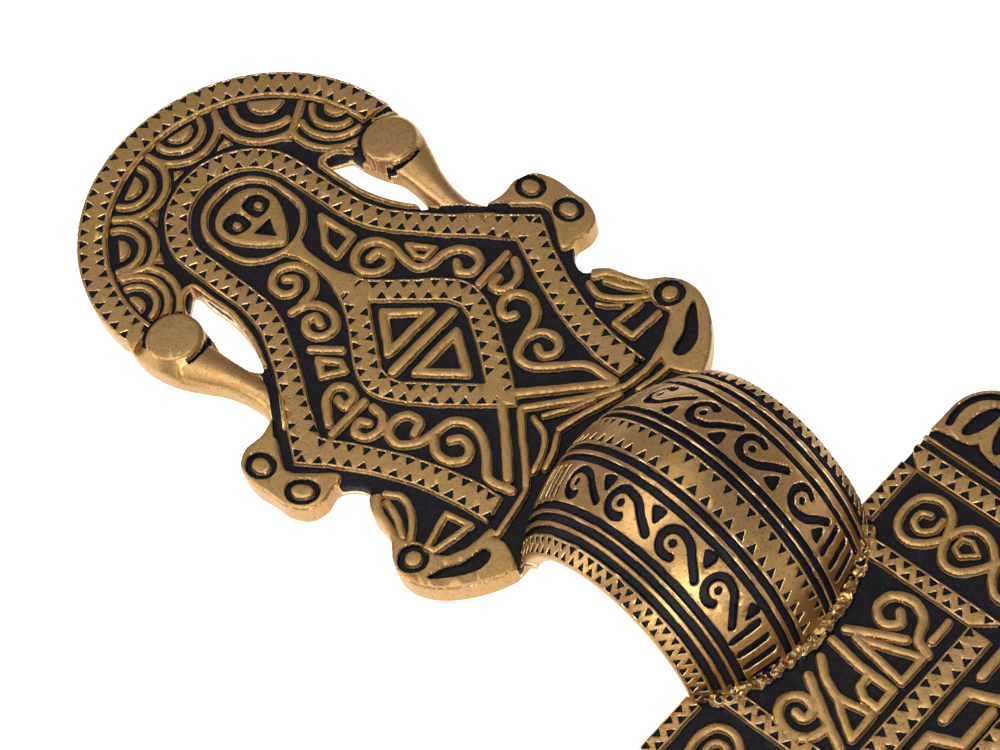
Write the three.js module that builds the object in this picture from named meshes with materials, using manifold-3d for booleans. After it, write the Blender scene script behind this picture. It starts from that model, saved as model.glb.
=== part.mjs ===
// Great bow brooch, cast in bronze: a long foot plate that ends in a crescent, a wide strap bow and a
// rectangular head plate with a lobed border. The back carries two lugs with an axle rod, a pin and
// a catch.
// Millimetres, +Z out of the decorated face, +Y from the foot towards the head plate, +X across.
// The drawing frame has y = 0 at the foot's nodules and z = 0 on the foot's ridge tops; the last step
// moves everything so that the origin lies at the middle of the footprint, at the lowest point.
import * as THREE from 'three';
import { mergeVertices } from 'three/addons/utils/BufferGeometryUtils.js';
import Module from 'manifold-3d';

const wasm = await Module();
wasm.setup();

// ---- Driving dimensions -------------------------------------------------------------------------------

const RELIEF = 0.8;                 // ridge tops above the sunk ground
const ROOT = 0.35;                  // how far a ridge is rooted in the plate below its ground
const PLATE = 3.0;                  // ridge tops to the flat back
const ROUNDING = 1;                 // steps per span of a drawn line; more steps give rounder strokes
const HEAD_DROP = 5.2;              // the head plate lies this far below the foot plate

const CRESCENT = { y: -26, outer: 23.3, inner: 19.6, groove: 18.9 };
const SCALLOPS = [
  { angle: 193, radii: [1.6, 3.3, 4.9, 6.6] },
  { angle: 221, radii: [2.4, 4.5, 6.7] },
  { angle: 257, radii: [1.9, 3.3, 5.2] },
  { angle: 288, radii: [1.9, 3.3, 5.2] },
  { angle: 321, radii: [1.9, 3.4, 5.2] },
  { angle: 350, radii: [1.6, 3.2, 4.7, 6.3] },
];
const ROUNDEL = { x: -0.2, y: -26.4, ringWidth: 0.8 };
const BOSS = { x: 19.4, y: -20.6, radius: 3.75, rise: 1.2 };
const STEM = [                      // x, y, half width, top of the rounded stem
  [19.5, -17.4, 2.9, 0.4], [18.7, -13.6, 2.3, 0.3], [18.0, -9.6, 1.75, 0.1], [17.7, -5.8, 1.6, -0.1],
  [18.6, -2.2, 1.9, -0.3],
];
const EYE = { x: 23.4, y: 24.5, ring: 1.95, pip: 1.1 };

const BOW = {
  y: 47.4, z: -9.2, alongRadius: 19.4, heightRadius: 23.5, camber: 27,
  halfWidth: 17.2, wall: 2.3, footAngle: 12, headAngle: 178,
};
const BOW_GROOVES = [2.7, 4.1, 10.6, 12.3, 14.1];   // centre lines, either side of the middle
const BOW_GROOVE_WIDTH = 0.8;
const COMMA = { x: 7.5, first: -10.3, pitch: 8.4, count: 4, radius: 1.75, width: 0.95 };

const HEAD = {
  near: 59.8, rimHalf: 28.3, rimFar: 94.0, borderHalf: 29.4, borderFar: 94.9,
  lobe: 6.1, lobeX: 33.3, firstLobe: 65.9, lobePitch: 11.4, cornerLobe: [32.6, 98.6], endLobeY: 98.9,
  panelHalf: 11.3, bandHalf: 13.9, crossNear: 80.0, crossFar: 83.5,
  edgeInner: 24.0, edgeOuter: 27.0, edgeNear: 62.2, edgeFar: [90.0, 93.2], edgeStart: 15.5,
  meanderNear: 85.2, meanderFar: 88.9, meanderPitch: 7.0,
};

const PIN = { y: 80, z: -12.3, hub: 2.2, bore: 1.3, needle: 1.0, tipY: 7, hubHalf: 6.6 };
const AXLE = { radius: 1.0, head: 1.8, headThick: 0.9 };
const LUG = { inner: 7.0, outer: 9.4, width: 7.0, flat: 4.0 };
const REST = -15.6;                 // the level on which lugs and catch stand
const CATCH = { y0: 10, y1: 19, half: 3.0, slot: 1.4, roof: -9.6 };

// ---- Solids from outlines -----------------------------------------------------------------------------

function solidOf(geometry) {
  geometry.deleteAttribute('normal');
  geometry.deleteAttribute('uv');
  const merged = mergeVertices(geometry, 1e-4);
  return new wasm.Manifold(new wasm.Mesh({
    numProp: 3,
    vertProperties: Float32Array.from(merged.attributes.position.array),
    triVerts: Uint32Array.from(merged.index.array),
  }));
}

function geometryOf(solid) {
  const mesh = solid.getMesh();
  const geometry = new THREE.BufferGeometry();
  geometry.setAttribute('position', new THREE.BufferAttribute(Float32Array.from(mesh.vertProperties), 3));
  geometry.setIndex(new THREE.BufferAttribute(Uint32Array.from(mesh.triVerts), 1));
  geometry.computeVertexNormals();
  return geometry;
}

function joinAll(solids) {
  let layer = solids;
  while (layer.length > 1) {
    const next = [];
    for (let i = 0; i < layer.length; i += 2) {
      next.push(i + 1 < layer.length ? layer[i].add(layer[i + 1]) : layer[i]);
    }
    layer = next;
  }
  return layer[0];
}

function vectors(points) {
  return points.map(([x, y]) => new THREE.Vector2(x, y));
}

// A slab between two levels, from an outline and its holes.
function slab(outline, holes, z0, z1) {
  const shape = new THREE.Shape(vectors(outline));
  for (const hole of holes) {
    shape.holes.push(new THREE.Path(vectors(hole)));
  }
  const geometry = new THREE.ExtrudeGeometry(shape, { depth: z1 - z0, bevelEnabled: false });
  geometry.translate(0, 0, z0);
  return solidOf(geometry);
}

// A smooth line through a few control points.
function smooth(points, closed = false) {
  const curve = new THREE.CatmullRomCurve3(
    points.map(([x, y]) => new THREE.Vector3(x, y, 0)), closed, 'centripetal');
  const spans = closed ? points.length : points.length - 1;
  const samples = curve.getPoints(spans * ROUNDING).map((p) => [p.x, p.y]);
  return closed ? samples.slice(0, -1) : samples;
}

function mirrored(points) {
  return points.map(([x, y]) => [-x, y]).reverse();
}

function arc(x, y, radius, from, to, steps) {
  const points = [];
  for (let i = 0; i <= steps; i += 1) {
    const a = THREE.MathUtils.degToRad(from + ((to - from) * i) / steps);
    points.push([x + radius * Math.cos(a), y + radius * Math.sin(a)]);
  }
  return points;
}

function ellipse(x, y, rx, ry, steps, turn = 0) {
  const points = [];
  const c = Math.cos(THREE.MathUtils.degToRad(turn));
  const s = Math.sin(THREE.MathUtils.degToRad(turn));
  for (let i = 0; i < steps; i += 1) {
    const a = (2 * Math.PI * i) / steps;
    const px = rx * Math.cos(a);
    const py = ry * Math.sin(a);
    points.push([x + px * c - py * s, y + px * s + py * c]);
  }
  return points;
}

// The line shifted sideways by a distance (left of its direction), with mitred corners.
function shifted(line, distance, closed = false) {
  const n = line.length;
  return line.map(([x, y], i) => {
    const a = line[closed ? (i + n - 1) % n : Math.max(i - 1, 0)];
    const b = line[closed ? (i + 1) % n : Math.min(i + 1, n - 1)];
    const before = new THREE.Vector2(x - a[0], y - a[1]).normalize();
    const after = new THREE.Vector2(b[0] - x, b[1] - y).normalize();
    if (before.lengthSq() === 0) before.copy(after);
    if (after.lengthSq() === 0) after.copy(before);
    const along = before.clone().add(after).normalize();
    const stretch = Math.min(1 / Math.max(along.dot(before), 0.3), 2.2);
    return [x - along.y * distance * stretch, y + along.x * distance * stretch];
  });
}

function anticlockwise(points) {
  return THREE.ShapeUtils.area(vectors(points)) < 0 ? [...points].reverse() : points;
}

// The outer and inner line of a closed stroke.
function loop(points, outward, inward) {
  const line = anticlockwise(points);
  return [shifted(line, -outward, true), shifted(line, inward, true)];
}

// The outline of a stroke of even width along a line.
function stroke(line, width) {
  return [...shifted(line, width / 2), ...shifted(line, -width / 2).reverse()];
}

// ---- Foot plate: outline and openings -----------------------------------------------------------------

function footOutline() {
  const c = CRESCENT;
  const half = [
    ...arc(0, c.y, c.outer, -90, 0, 9),
    ...smooth([
      [23.0, -24.6], [23.2, -20.6], [22.7, -17.6], [21.4, -14.2], [20.1, -11.2], [19.4, -8.0],
      [19.4, -5.2], [20.3, -3.2], [22.2, -2.7],
    ]),
    ...smooth([
      [24.8, -2.9], [27.0, -1.5], [27.9, 1.6], [27.7, 4.6], [27.6, 7.2], [26.3, 9.6], [24.2, 10.3],
      [21.9, 9.9], [20.3, 11.2], [19.6, 13.2],
    ]),
    ...smooth([
      [20.6, 14.4], [21.8, 16.0], [22.4, 18.4], [23.2, 20.6], [24.9, 22.4], [25.9, 24.5], [25.9, 26.9],
      [24.6, 29.8], [22.0, 32.5], [19.2, 34.4], [17.2, 35.3],
    ]),
  ];
  return [...half, ...mirrored(half.slice(1))];
}

// The gap between a boss's stem and the plate, on the +X side.
function stemGap() {
  return smooth([
    [12.2, -22.3], [12.1, -18.2], [12.9, -14.4], [14.0, -11.5], [15.2, -9.6], [15.9, -10.6],
      [16.4, -12.8],
    [16.5, -15.6], [15.6, -18.3], [15.2, -21.2], [14.6, -22.9], [13.2, -23.3],
  ], true);
}

// The inner frame: an arch round the roundel that flares to the nodules and runs on to the bow (+X side).
const FRAME_OUTER_LOW = [[10.4, -24], [10.6, -18], [11.1, -15], [12.3, -12], [14.3, -8.5], [17.2, -4.2]];
const FRAME_OUTER_TIP = [22.8, 3.6];
const FRAME_OUTER_HIGH = [[20.7, 6.9], [18.8, 10.5], [17.2, 14.2], [15.7, 18.8], [14.7, 24],
  [14.4, 28.2]];
const FRAME_INNER_HIGH = [[10.6, 27.4], [10.8, 24], [11.6, 19.8], [13.0, 14.8], [14.8, 10.3],
  [16.6, 6.3]];
const FRAME_INNER_TIP = [18.0, 3.6];
const FRAME_INNER_LOW = [
  [15.5, -0.6], [12.8, -4.6], [10.3, -8.8], [8.5, -12.2], [7.6, -15.2], [7.3, -18], [7.2, -24],
];

function frameBand() {
  const half = [
    ...arc(0, -27.9, 10.4, -90, 0, 5),
    ...smooth(FRAME_OUTER_LOW.slice(1)), FRAME_OUTER_TIP, ...smooth(FRAME_OUTER_HIGH),
    ...smooth(FRAME_INNER_HIGH), FRAME_INNER_TIP, ...smooth(FRAME_INNER_LOW.slice(0, -1)),
    ...arc(0, -27.6, 7.2, 0, -90, 5),
  ];
  return [...half, ...mirrored(half).slice(1, -1)];
}

// The raised rim that follows the frame outside its dark groove, from the crescent to the nodules.
const RIM_LOW = [
  [12.3, -23.6], [12.6, -17.5], [13.3, -14.2], [14.6, -11.2], [16.6, -8.0], [19.4, -3.6], [24.0, 3.2],
];

const LOZENGE = {
  outer: [
    [0.9, -10.5], [3.1, -6.6], [6.0, -2.9], [8.6, 0.4], [9.7, 3.2], [9.5, 5.8], [7.9, 9.2], [4.9, 13.9],
    [1.2, 18.8],
  ],
  inner: [[0, -5.2], [3.2, -1.0], [6.0, 2.7], [6.5, 4.4], [6.0, 6.2], [3.2, 10.4], [0, 14.8]],
};

// Strokes carved in the field: width, closed or open, control points.
const FIELD_STROKES = [
  // left of the middle, from the bow towards the roundel
  [0.95, false, [[-9.7, 27.4], [-9.4, 23.0], [-7.2, 20.4], [-5.5, 18.2], [-5.0, 16.6], [-5.6, 15.0],
    [-8.4, 14.1], [-11.2, 13.1], [-12.6, 11.2], [-12.2, 9.2], [-10.7, 8.3], [-9.2, 8.9], [-8.7, 10.2],
    [-9.6, 11.0]]],
  [0.9, false, [[-8.0, 14.3], [-9.7, 15.4], [-10.2, 17.0], [-9.6, 18.5], [-8.2, 18.8], [-7.2, 17.8],
    [-7.7, 16.5]]],
  [0.9, false, [[-15.6, 5.5], [-14.4, 7.2], [-12.8, 7.7], [-11.2, 7.0], [-11.1, 5.7], [-12.5, 5.5]]],
  [0.85, false, [[-15.8, 4.0], [-10.3, 4.2]]],
  [0.9, false, [[-11.0, -0.3], [-10.2, 0.9], [-10.9, 2.2], [-12.6, 2.2], [-13.5, 0.7], [-12.9, -1.2],
    [-11.2, -2.4], [-8.7, -2.8], [-7.4, -4.0], [-7.5, -6.4], [-7.9, -9.0], [-7.2, -11.0], [-5.6, -12.0],
    [-3.8, -11.5], [-2.8, -9.6], [-3.7, -7.7], [-5.3, -7.0], [-6.5, -8.0], [-6.2, -9.6], [-4.9, -9.8]]],
  [0.55, true, [[-11.0, -4.0], [-9.1, -4.1], [-8.6, -5.2], [-9.2, -7.2]]],
  [0.75, true, [[-6.0, -13.9], [-2.6, -13.4], [-3.0, -15.8], [-5.8, -19.4]]],
  // right of the middle
  [0.95, false, [[9.3, 27.5], [9.7, 24.2], [7.5, 21.8], [5.8, 19.4], [5.4, 17.2], [6.6, 15.1],
    [9.0, 14.5], [11.4, 13.7], [12.9, 11.8], [12.4, 9.9], [10.6, 9.3], [9.1, 10.2], [9.0, 12.0],
    [10.6, 12.6]]],
  [0.9, false, [[9.5, 14.8], [10.9, 16.6], [10.8, 18.8], [9.4, 20.1], [7.9, 19.4], [7.6, 17.8],
    [8.6, 16.8]]],
  [0.9, false, [[10.9, 5.8], [11.2, 7.7], [12.9, 8.8], [14.7, 8.0], [14.8, 6.4], [13.4, 5.9],
    [12.9, 7.0]]],
  [0.85, false, [[11.0, 4.4], [16.8, 4.4]]],
  [0.9, false, [[15.9, 3.1], [14.8, 1.6], [13.4, 0.2], [11.7, 0.0], [10.7, 1.4], [11.3, 2.9], [12.9, 2.9],
    [12.7, 1.5]]],
  [0.7, true, [[9.2, -0.6], [11.5, -2.5], [10.0, -4.6], [8.6, -1.9]]],
  [0.8, false, [[7.2, -3.1], [9.5, -6.4]]],
  [0.9, false, [[7.0, -12.2], [5.2, -11.5], [4.0, -9.8], [4.0, -7.6], [5.4, -6.1], [7.2, -6.4],
    [8.0, -8.2], [6.9, -9.8], [5.6, -9.3], [6.0, -7.9]]],
  [0.9, false, [[5.2, -12.0], [2.9, -12.3], [1.3, -14.3], [1.7, -16.8], [3.8, -18.1], [5.7, -16.9],
    [5.7, -14.9], [4.2, -14.1], [3.1, -15.3], [3.9, -16.4]]],
  // the stem to the roundel, and the nested chevrons by the bow
  [1.6, false, [[-0.2, -9.0], [-0.3, -20.2]]],
  [1.0, false, [[-8.4, 25.6], [-4.6, 21.6], [-0.4, 17.9]]],
  [1.0, false, [[8.6, 26.2], [4.8, 21.8], [0.6, 17.9]]],
  [0.95, false, [[-10.2, 29.0], [-5.8, 25.2], [0.0, 20.3], [3.4, 24.6], [7.0, 28.6]]],
  [0.8, false, [[-8.0, 29.0], [-3.9, 26.6], [-0.5, 23.4], [2.4, 26.6], [5.8, 28.0]]],
];

const LOZENGE_STROKES = [
  [1.0, true, [[-3.4, 6.7], [4.0, 6.7], [0.3, 12.0]]],
  [1.1, false, [[-5.2, 4.3], [5.7, 4.3]]],
  [0.95, true, [[-3.6, 2.1], [4.0, 2.0], [0.1, -2.7]]],
];

// One wing beside the bow, on the +X side; the other is its mirror image.
const WING_STROKES = [
  [0.8, true, [[15.9, 26.4], [16.3, 23.4], [20.9, 24.3], [20.9, 25.2]]],
  [0.9, false, [[21.6, 22.4], [19.2, 20.3], [18.0, 17.6], [18.9, 15.6]]],
  [0.9, false, [[22.0, 21.4], [20.6, 19.3], [19.7, 16.6]]],
  [1.1, false, [[15.1, 29.6], [18.5, 29.4], [22.4, 27.2]]],
];

function ridge(outline, holes = []) {
  return slab(outline, holes, -RELIEF - ROOT, 0);
}

function ridges(strokes) {
  return strokes.map(([width, closed, points]) => {
    if (closed) {
      const [outer, inner] = loop(points, width / 2, width / 2);
      return ridge(outer, [inner]);
    }
    const line = points.length > 3 ? smooth(points) : points;
    return ridge(stroke(line, width));
  });
}

function mirrorStrokes(strokes) {
  return strokes.map(([width, closed, points]) => [width, closed, mirrored(points)]);
}

// Half rings that stand on the crescent's inner groove, with the half moon in the middle.
function scallops() {
  const made = [];
  for (const { angle, radii } of SCALLOPS) {
    const a = THREE.MathUtils.degToRad(angle);
    const x = CRESCENT.groove * Math.cos(a);
    const y = CRESCENT.y + CRESCENT.groove * Math.sin(a);
    const inward = angle + 180;
    made.push(ridge(arc(x, y, radii[0], inward - 86, inward + 86, 4)));
    for (const radius of radii.slice(1)) {
      const spread = THREE.MathUtils.radToDeg(Math.acos(radius / (2 * CRESCENT.groove))) - 3;
      made.push(ridge(stroke(arc(x, y, radius, inward - spread, inward + spread, 4), 0.85)));
    }
  }
  return made;
}

function crescentBand() {
  const { y, outer, inner } = CRESCENT;
  return ridge([...arc(0, y, outer - 0.1, 180, 360, 18), ...arc(0, y + 0.3, inner, 360, 180, 14)]);
}

// The roundel: a ring and a plain pear-shaped mask with two eyes and a three-cornered mouth.
function roundel() {
  const { x, y, ringWidth } = ROUNDEL;
  const face = smooth([[x, y + 6.4], [x + 2.6, y + 3.4], [x + 4.2, y + 0.2], [x + 3.5, y - 3.0],
    [x, y - 4.4],
    [x - 3.5, y - 3.0], [x - 4.2, y + 0.2], [x - 2.6, y + 3.4]], true);
  const mouth = [[x - 1.3, y + 2.1], [x + 1.3, y + 2.1], [x, y + 4.3]];
  const eyes = [-1.85, 1.85].map((dx) => ellipse(x + dx, y - 0.8, 1.3, 1.5, 8));
  const rim = smooth([[x, y + 8.2], [x + 3.6, y + 6.4], [x + 6.0, y + 2.4], [x + 6.3, y - 2.0],
    [x + 4.6, y - 5.6],
    [x, y - 7.2], [x - 4.6, y - 5.6], [x - 6.3, y - 2.0], [x - 6.0, y + 2.4], [x - 3.6, y + 6.4]], true);
  const pips = [-1.85, 1.85].map((dx) => ridge(ellipse(x + dx, y - 0.8, 0.6, 0.7, 6)));
  const [outer, inner] = loop(rim, 0, ringWidth);
  return [ridge(face, [mouth, ...eyes]), ridge(outer, [inner]), ...pips];
}

// Oval pips in dark rings on the nodules, and the wings' eyes.
function pips() {
  const made = [];
  for (const side of [-1, 1]) {
    made.push(ridge(ellipse(side * 25.3, 0.1, 1.0, 1.4, 6)));
    made.push(ridge(ellipse(side * 25.1, 6.6, 1.0, 1.4, 6)));
    made.push(ridge(ellipse(side * EYE.x, EYE.y, EYE.pip, EYE.pip, 8)));
  }
  return made;
}

// The raised border of the nodules and of the wings, pierced where their rings and leaves are sunk.
function nodulePlates() {
  const made = [];
  for (const turn of [(p) => p, mirrored]) {
    const plate = turn([...smooth([[19.8, -3.1], [22.2, -2.6], [24.8, -2.8], [26.9, -1.5], [27.8, 1.6],
      [27.6, 4.6], [27.5, 7.2], [26.2, 9.5], [24.2, 10.2], [21.9, 9.8]]), [20.3, 8.9], [23.7, 3.4]]);
    const low = turn(ellipse(25.3, 0.1, 1.7, 2.2, 8));
    const high = turn(ellipse(25.1, 6.6, 1.7, 2.2, 8));
    made.push(ridge(plate, [low, high]));
    const wing = turn(smooth([[15.0, 31.2], [17.3, 35.0], [19.2, 34.3], [22.0, 32.4], [24.5, 29.7],
      [25.8, 26.9],
      [25.8, 24.5], [24.8, 22.5], [23.1, 20.7], [22.3, 18.5], [21.7, 16.1], [20.4, 14.6], [19.2, 15.2],
      [20.6, 16.6], [21.4, 19.0], [22.2, 21.6], [21.2, 23.6], [21.3, 26.2], [19.4, 28.4],
        [16.6, 29.0]], true));
    const eye = turn(ellipse(EYE.x, EYE.y, EYE.ring, EYE.ring, 8));
    const leaf = turn(smooth([[24.2, 27.6], [22.0, 30.2], [19.4, 31.9], [17.4, 31.6], [17.2, 30.4],
      [20.0, 29.6],
      [22.2, 28.2]], true));
    made.push(ridge(wing, [eye, leaf]));
  }
  return made;
}

// A boss: a flat round disc with a soft edge, on a stem that tapers and curves back to the plate.
function boss(side) {
  const { x, y, radius, rise } = BOSS;
  const profile = [[0, -PLATE], [radius, -PLATE], [radius, rise - 0.9], [radius - 0.8, rise], [0, rise]];
  const disc = new THREE.LatheGeometry(vectors(profile), 14);
  disc.rotateX(Math.PI / 2);
  disc.translate(side * x, y, 0);
  const stations = STEM.map(([sx, sy, half, top]) => [side * sx, sy, half, top]);
  return [solidOf(disc), solidOf(loft(stations, 6))];
}

// A rounded bar through stations of [x, y, half width, top], flat-bottomed at the plate's back.
function loft(stations, sides) {
  const path = smoothStations(stations, 2);
  const positions = [];
  const index = [];
  const count = sides + 1;
  path.forEach(([x, y, half, top], i) => {
    const a = path[Math.max(i - 1, 0)];
    const b = path[Math.min(i + 1, path.length - 1)];
    const along = new THREE.Vector2(b[0] - a[0], b[1] - a[1]).normalize();
    for (let j = 0; j <= sides; j += 1) {
      const t = Math.PI * (j / sides);
      const across = half * Math.cos(t);
      const height = -PLATE + 0.2 + (top + PLATE - 0.2) * Math.pow(Math.sin(t), 0.7);
      positions.push(x + along.y * across, y - along.x * across, height);
    }
  });
  for (let i = 0; i + 1 < path.length; i += 1) {
    for (let j = 0; j < count; j += 1) {
      const k = (j + 1) % count;
      const [p, q, r, s] = [i * count + j, i * count + k, (i + 1) * count + j, (i + 1) * count + k];
      index.push(p, r, q, q, r, s);
    }
  }
  const last = (path.length - 1) * count;
  for (let j = 1; j + 1 < count; j += 1) {
    index.push(0, j, j + 1);
    index.push(last, last + j + 1, last + j);
  }
  const geometry = new THREE.BufferGeometry();
  geometry.setAttribute('position', new THREE.Float32BufferAttribute(positions, 3));
  geometry.setIndex(index);
  return geometry;
}

function smoothStations(stations, perSpan) {
  const place = new THREE.CatmullRomCurve3(stations.map(([x, y]) => new THREE.Vector3(x, y, 0)));
  const size = new THREE.CatmullRomCurve3(
    stations.map(([, , half, top], i) => new THREE.Vector3(i, half, top)));
  const steps = (stations.length - 1) * perSpan;
  const made = [];
  for (let i = 0; i <= steps; i += 1) {
    const p = place.getPoint(i / steps);
    const s = size.getPoint(i / steps);
    made.push([p.x, p.y, s.y, s.z]);
  }
  return made;
}

function footPlate() {
  const gap = stemGap();
  const base = slab(footOutline(), [gap, mirrored(gap)], -PLATE, -RELIEF);
  const lozenge = ridge(
    [...smooth(LOZENGE.outer), ...mirrored(smooth(LOZENGE.outer))],
    [[...LOZENGE.inner, ...mirrored(LOZENGE.inner).slice(1, -1)]]);
  const rims = [RIM_LOW, mirrored(RIM_LOW)].map((line) => ridge(stroke(smooth(line), 0.8)));
  return [
    base, crescentBand(), ridge(frameBand()), lozenge, ...rims,
    ...scallops(), ...roundel(), ...pips(), ...nodulePlates(),
    ...ridges(FIELD_STROKES), ...ridges(LOZENGE_STROKES),
    ...ridges(WING_STROKES), ...ridges(mirrorStrokes(WING_STROKES)), ...boss(1), ...boss(-1),
  ];
}

// ---- Bow ----------------------------------------------------------------------------------------------

// A point of the bow: x along the arch's width, the angle round the arch and the depth below its surface.
function bowPoint(across, degrees, lift) {
  const b = BOW;
  const t = THREE.MathUtils.degToRad(degrees);
  const normal = new THREE.Vector2(-Math.cos(t) / b.alongRadius, Math.sin(t) / b.heightRadius).normalize();
  const lean = across / b.camber;
  const sink = (b.camber + lift) * Math.cos(lean) - b.camber;
  const y = b.y - b.alongRadius * Math.cos(t) + normal.x * sink;
  const z = b.z + b.heightRadius * Math.sin(t) + normal.y * sink;
  return [(b.camber + lift) * Math.sin(lean), y, z];
}

// The angle round the arch at a run along its crest, measured from the top, positive towards the head.
const CREST = (() => {
  const table = [];
  let run = 0;
  for (let i = 0; i <= 900; i += 1) {
    const degrees = i * 0.2;
    const [, y, z] = bowPoint(0, degrees, 0);
    if (i > 0) run += Math.hypot(y - table[i - 1].y, z - table[i - 1].z);
    table.push({ degrees, y, z, run });
  }
  const top = table[450].run;
  return table.map((row) => ({ degrees: row.degrees, run: row.run - top }));
})();

function angleAt(run) {
  const i = Math.max(CREST.findIndex((row) => row.run >= run), 1);
  const a = CREST[i - 1];
  const b = CREST[i];
  return a.degrees + ((b.degrees - a.degrees) * (run - a.run)) / (b.run - a.run);
}

// The strap: its grooved section carried round the arch.
function bowStrap() {
  const { halfWidth, wall, footAngle, headAngle } = BOW;
  const w = BOW_GROOVE_WIDTH / 2;
  const section = [[-halfWidth, -0.9], [-halfWidth + 0.7, 0]];
  for (const centre of [...BOW_GROOVES.map((u) => -u).reverse(), ...BOW_GROOVES]) {
    section.push([centre - w, 0], [centre, -0.65], [centre + w, 0]);
  }
  section.push([halfWidth - 0.7, 0], [halfWidth, -0.9], [halfWidth - 0.3, -wall]);
  for (let i = 2; i >= -2; i -= 1) {
    section.push([(i * halfWidth) / 3, -wall]);
  }
  section.push([-halfWidth + 0.3, -wall]);
  const count = section.length;
  const rings = 10;
  const positions = [];
  for (let i = 0; i < rings; i += 1) {
    const degrees = footAngle + ((headAngle - footAngle) * i) / (rings - 1);
    for (const [across, lift] of section) {
      positions.push(...bowPoint(across, degrees, lift));
    }
  }
  const index = [];
  for (let i = 0; i + 1 < rings; i += 1) {
    for (let j = 0; j < count; j += 1) {
      const k = (j + 1) % count;
      const [p, q, r, s] = [i * count + j, i * count + k, (i + 1) * count + j, (i + 1) * count + k];
      index.push(p, q, r, q, s, r);
    }
  }
  const last = (rings - 1) * count;
  for (const face of THREE.ShapeUtils.triangulateShape(vectors(section), [])) {
    const clockwise = THREE.ShapeUtils.area(vectors(face.map((v) => section[v]))) < 0;
    const [a, b, c] = clockwise ? face : [...face].reverse();
    index.push(a, c, b);
    index.push(last + a, last + b, last + c);
  }
  const geometry = new THREE.BufferGeometry();
  geometry.setAttribute('position', new THREE.Float32BufferAttribute(positions, 3));
  geometry.setIndex(index);
  return solidOf(geometry);
}

// A stroke sunk into the bow: its outline lies in (across, run) and is bent onto the arch.
function bowCut(outline) {
  const shape = new THREE.Shape(vectors(outline));
  const geometry = new THREE.ExtrudeGeometry(shape, { depth: 1.3, bevelEnabled: false });
  const place = geometry.attributes.position;
  for (let i = 0; i < place.count; i += 1) {
    const [x, y, z] = bowPoint(place.getX(i), angleAt(place.getY(i)), place.getZ(i) - 0.55);
    place.setXYZ(i, x, y, z);
  }
  return solidOf(geometry);
}

// The scroll panels: commas that curl round a dot, drops between them, and bars at the head's end.
function bowScrolls() {
  const cuts = [];
  const { x, first, pitch, count, radius, width } = COMMA;
  for (const side of [-1, 1]) {
    for (let i = 0; i < count; i += 1) {
      const run = first + pitch * i;
      const curl = arc(0, run, radius, 40, -180, 3);
      const comma = [...curl, [-0.9, run + 2.5], [1.1, run + 5.0]];
      cuts.push(bowCut(stroke(comma, width).map(([u, v]) => [side * (x + u), v])));
      const drop = [[-2.0, run + 5.2], [-0.5, run + 5.5], [-1.7, run + 3.7]];
      cuts.push(bowCut(drop.map(([u, v]) => [side * (x + u), v])));
    }
    for (const run of [22.0, 25.0]) {
      cuts.push(bowCut([[5.5, run - 0.45], [9.6, run - 0.45], [9.6, run + 0.45], [5.5, run + 0.45]]
        .map(([u, v]) => [side * u, v])));
    }
  }
  return joinAll(cuts);
}

function block(x0, x1, y0, y1, z0, z1) {
  const box = new THREE.BoxGeometry(x1 - x0, y1 - y0, z1 - z0);
  box.translate((x0 + x1) / 2, (y0 + y1) / 2, (z0 + z1) / 2);
  return solidOf(box);
}

// The bow stands in both plates and ends flush with their backs.
function bow() {
  const below = joinAll([
    block(-30, 30, 10, BOW.y, -30, -PLATE + 0.05),
    block(-30, 30, BOW.y - 1, 90, -30, -HEAD_DROP - PLATE + 0.05),
  ]);
  return bowStrap().subtract(bowScrolls()).subtract(below);
}

// ---- Head plate ---------------------------------------------------------------------------------------

// Middles of the border's lobes, from the near corner on the +X side round to the middle of the far end.
function lobeCentres() {
  const h = HEAD;
  const half = [0, 1, 2].map((i) => [h.lobeX, h.firstLobe + i * h.lobePitch, 0]);
  half.push([...h.cornerLobe, 45], [2 * h.lobePitch, h.endLobeY, 90], [h.lobePitch, h.endLobeY, 90]);
  const others = half.map(([x, y, facing]) => [-x, y, 180 - facing]).reverse();
  return [...half, [0, h.endLobeY, 90], ...others];
}

// The scalloped line round the lobes: each arc runs between its crossings with its neighbours.
function lobedLine(steps) {
  const centres = lobeCentres();
  const r = HEAD.lobe;
  const crossing = centres.slice(1).map(([bx, by], i) => {
    const [ax, ay] = centres[i];
    const apart = Math.hypot(bx - ax, by - ay);
    const rise = Math.sqrt(r * r - (apart * apart) / 4);
    return [(ax + bx) / 2 + ((by - ay) / apart) * rise, (ay + by) / 2 - ((bx - ax) / apart) * rise];
  });
  const line = [];
  centres.forEach(([x, y], i) => {
    const from = i === 0 ? [x, y - r] : crossing[i - 1];
    const to = i === centres.length - 1 ? [x, y - r] : crossing[i];
    const a = THREE.MathUtils.radToDeg(Math.atan2(from[1] - y, from[0] - x));
    let b = THREE.MathUtils.radToDeg(Math.atan2(to[1] - y, to[0] - x));
    while (b < a) b += 360;
    const points = arc(x, y, r, a, b, steps);
    line.push(...(i === 0 ? points : points.slice(1)));
  });
  return line;
}

function headRidge(outline, holes = []) {
  return slab(outline, holes, -HEAD_DROP - RELIEF - ROOT, -HEAD_DROP);
}

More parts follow.
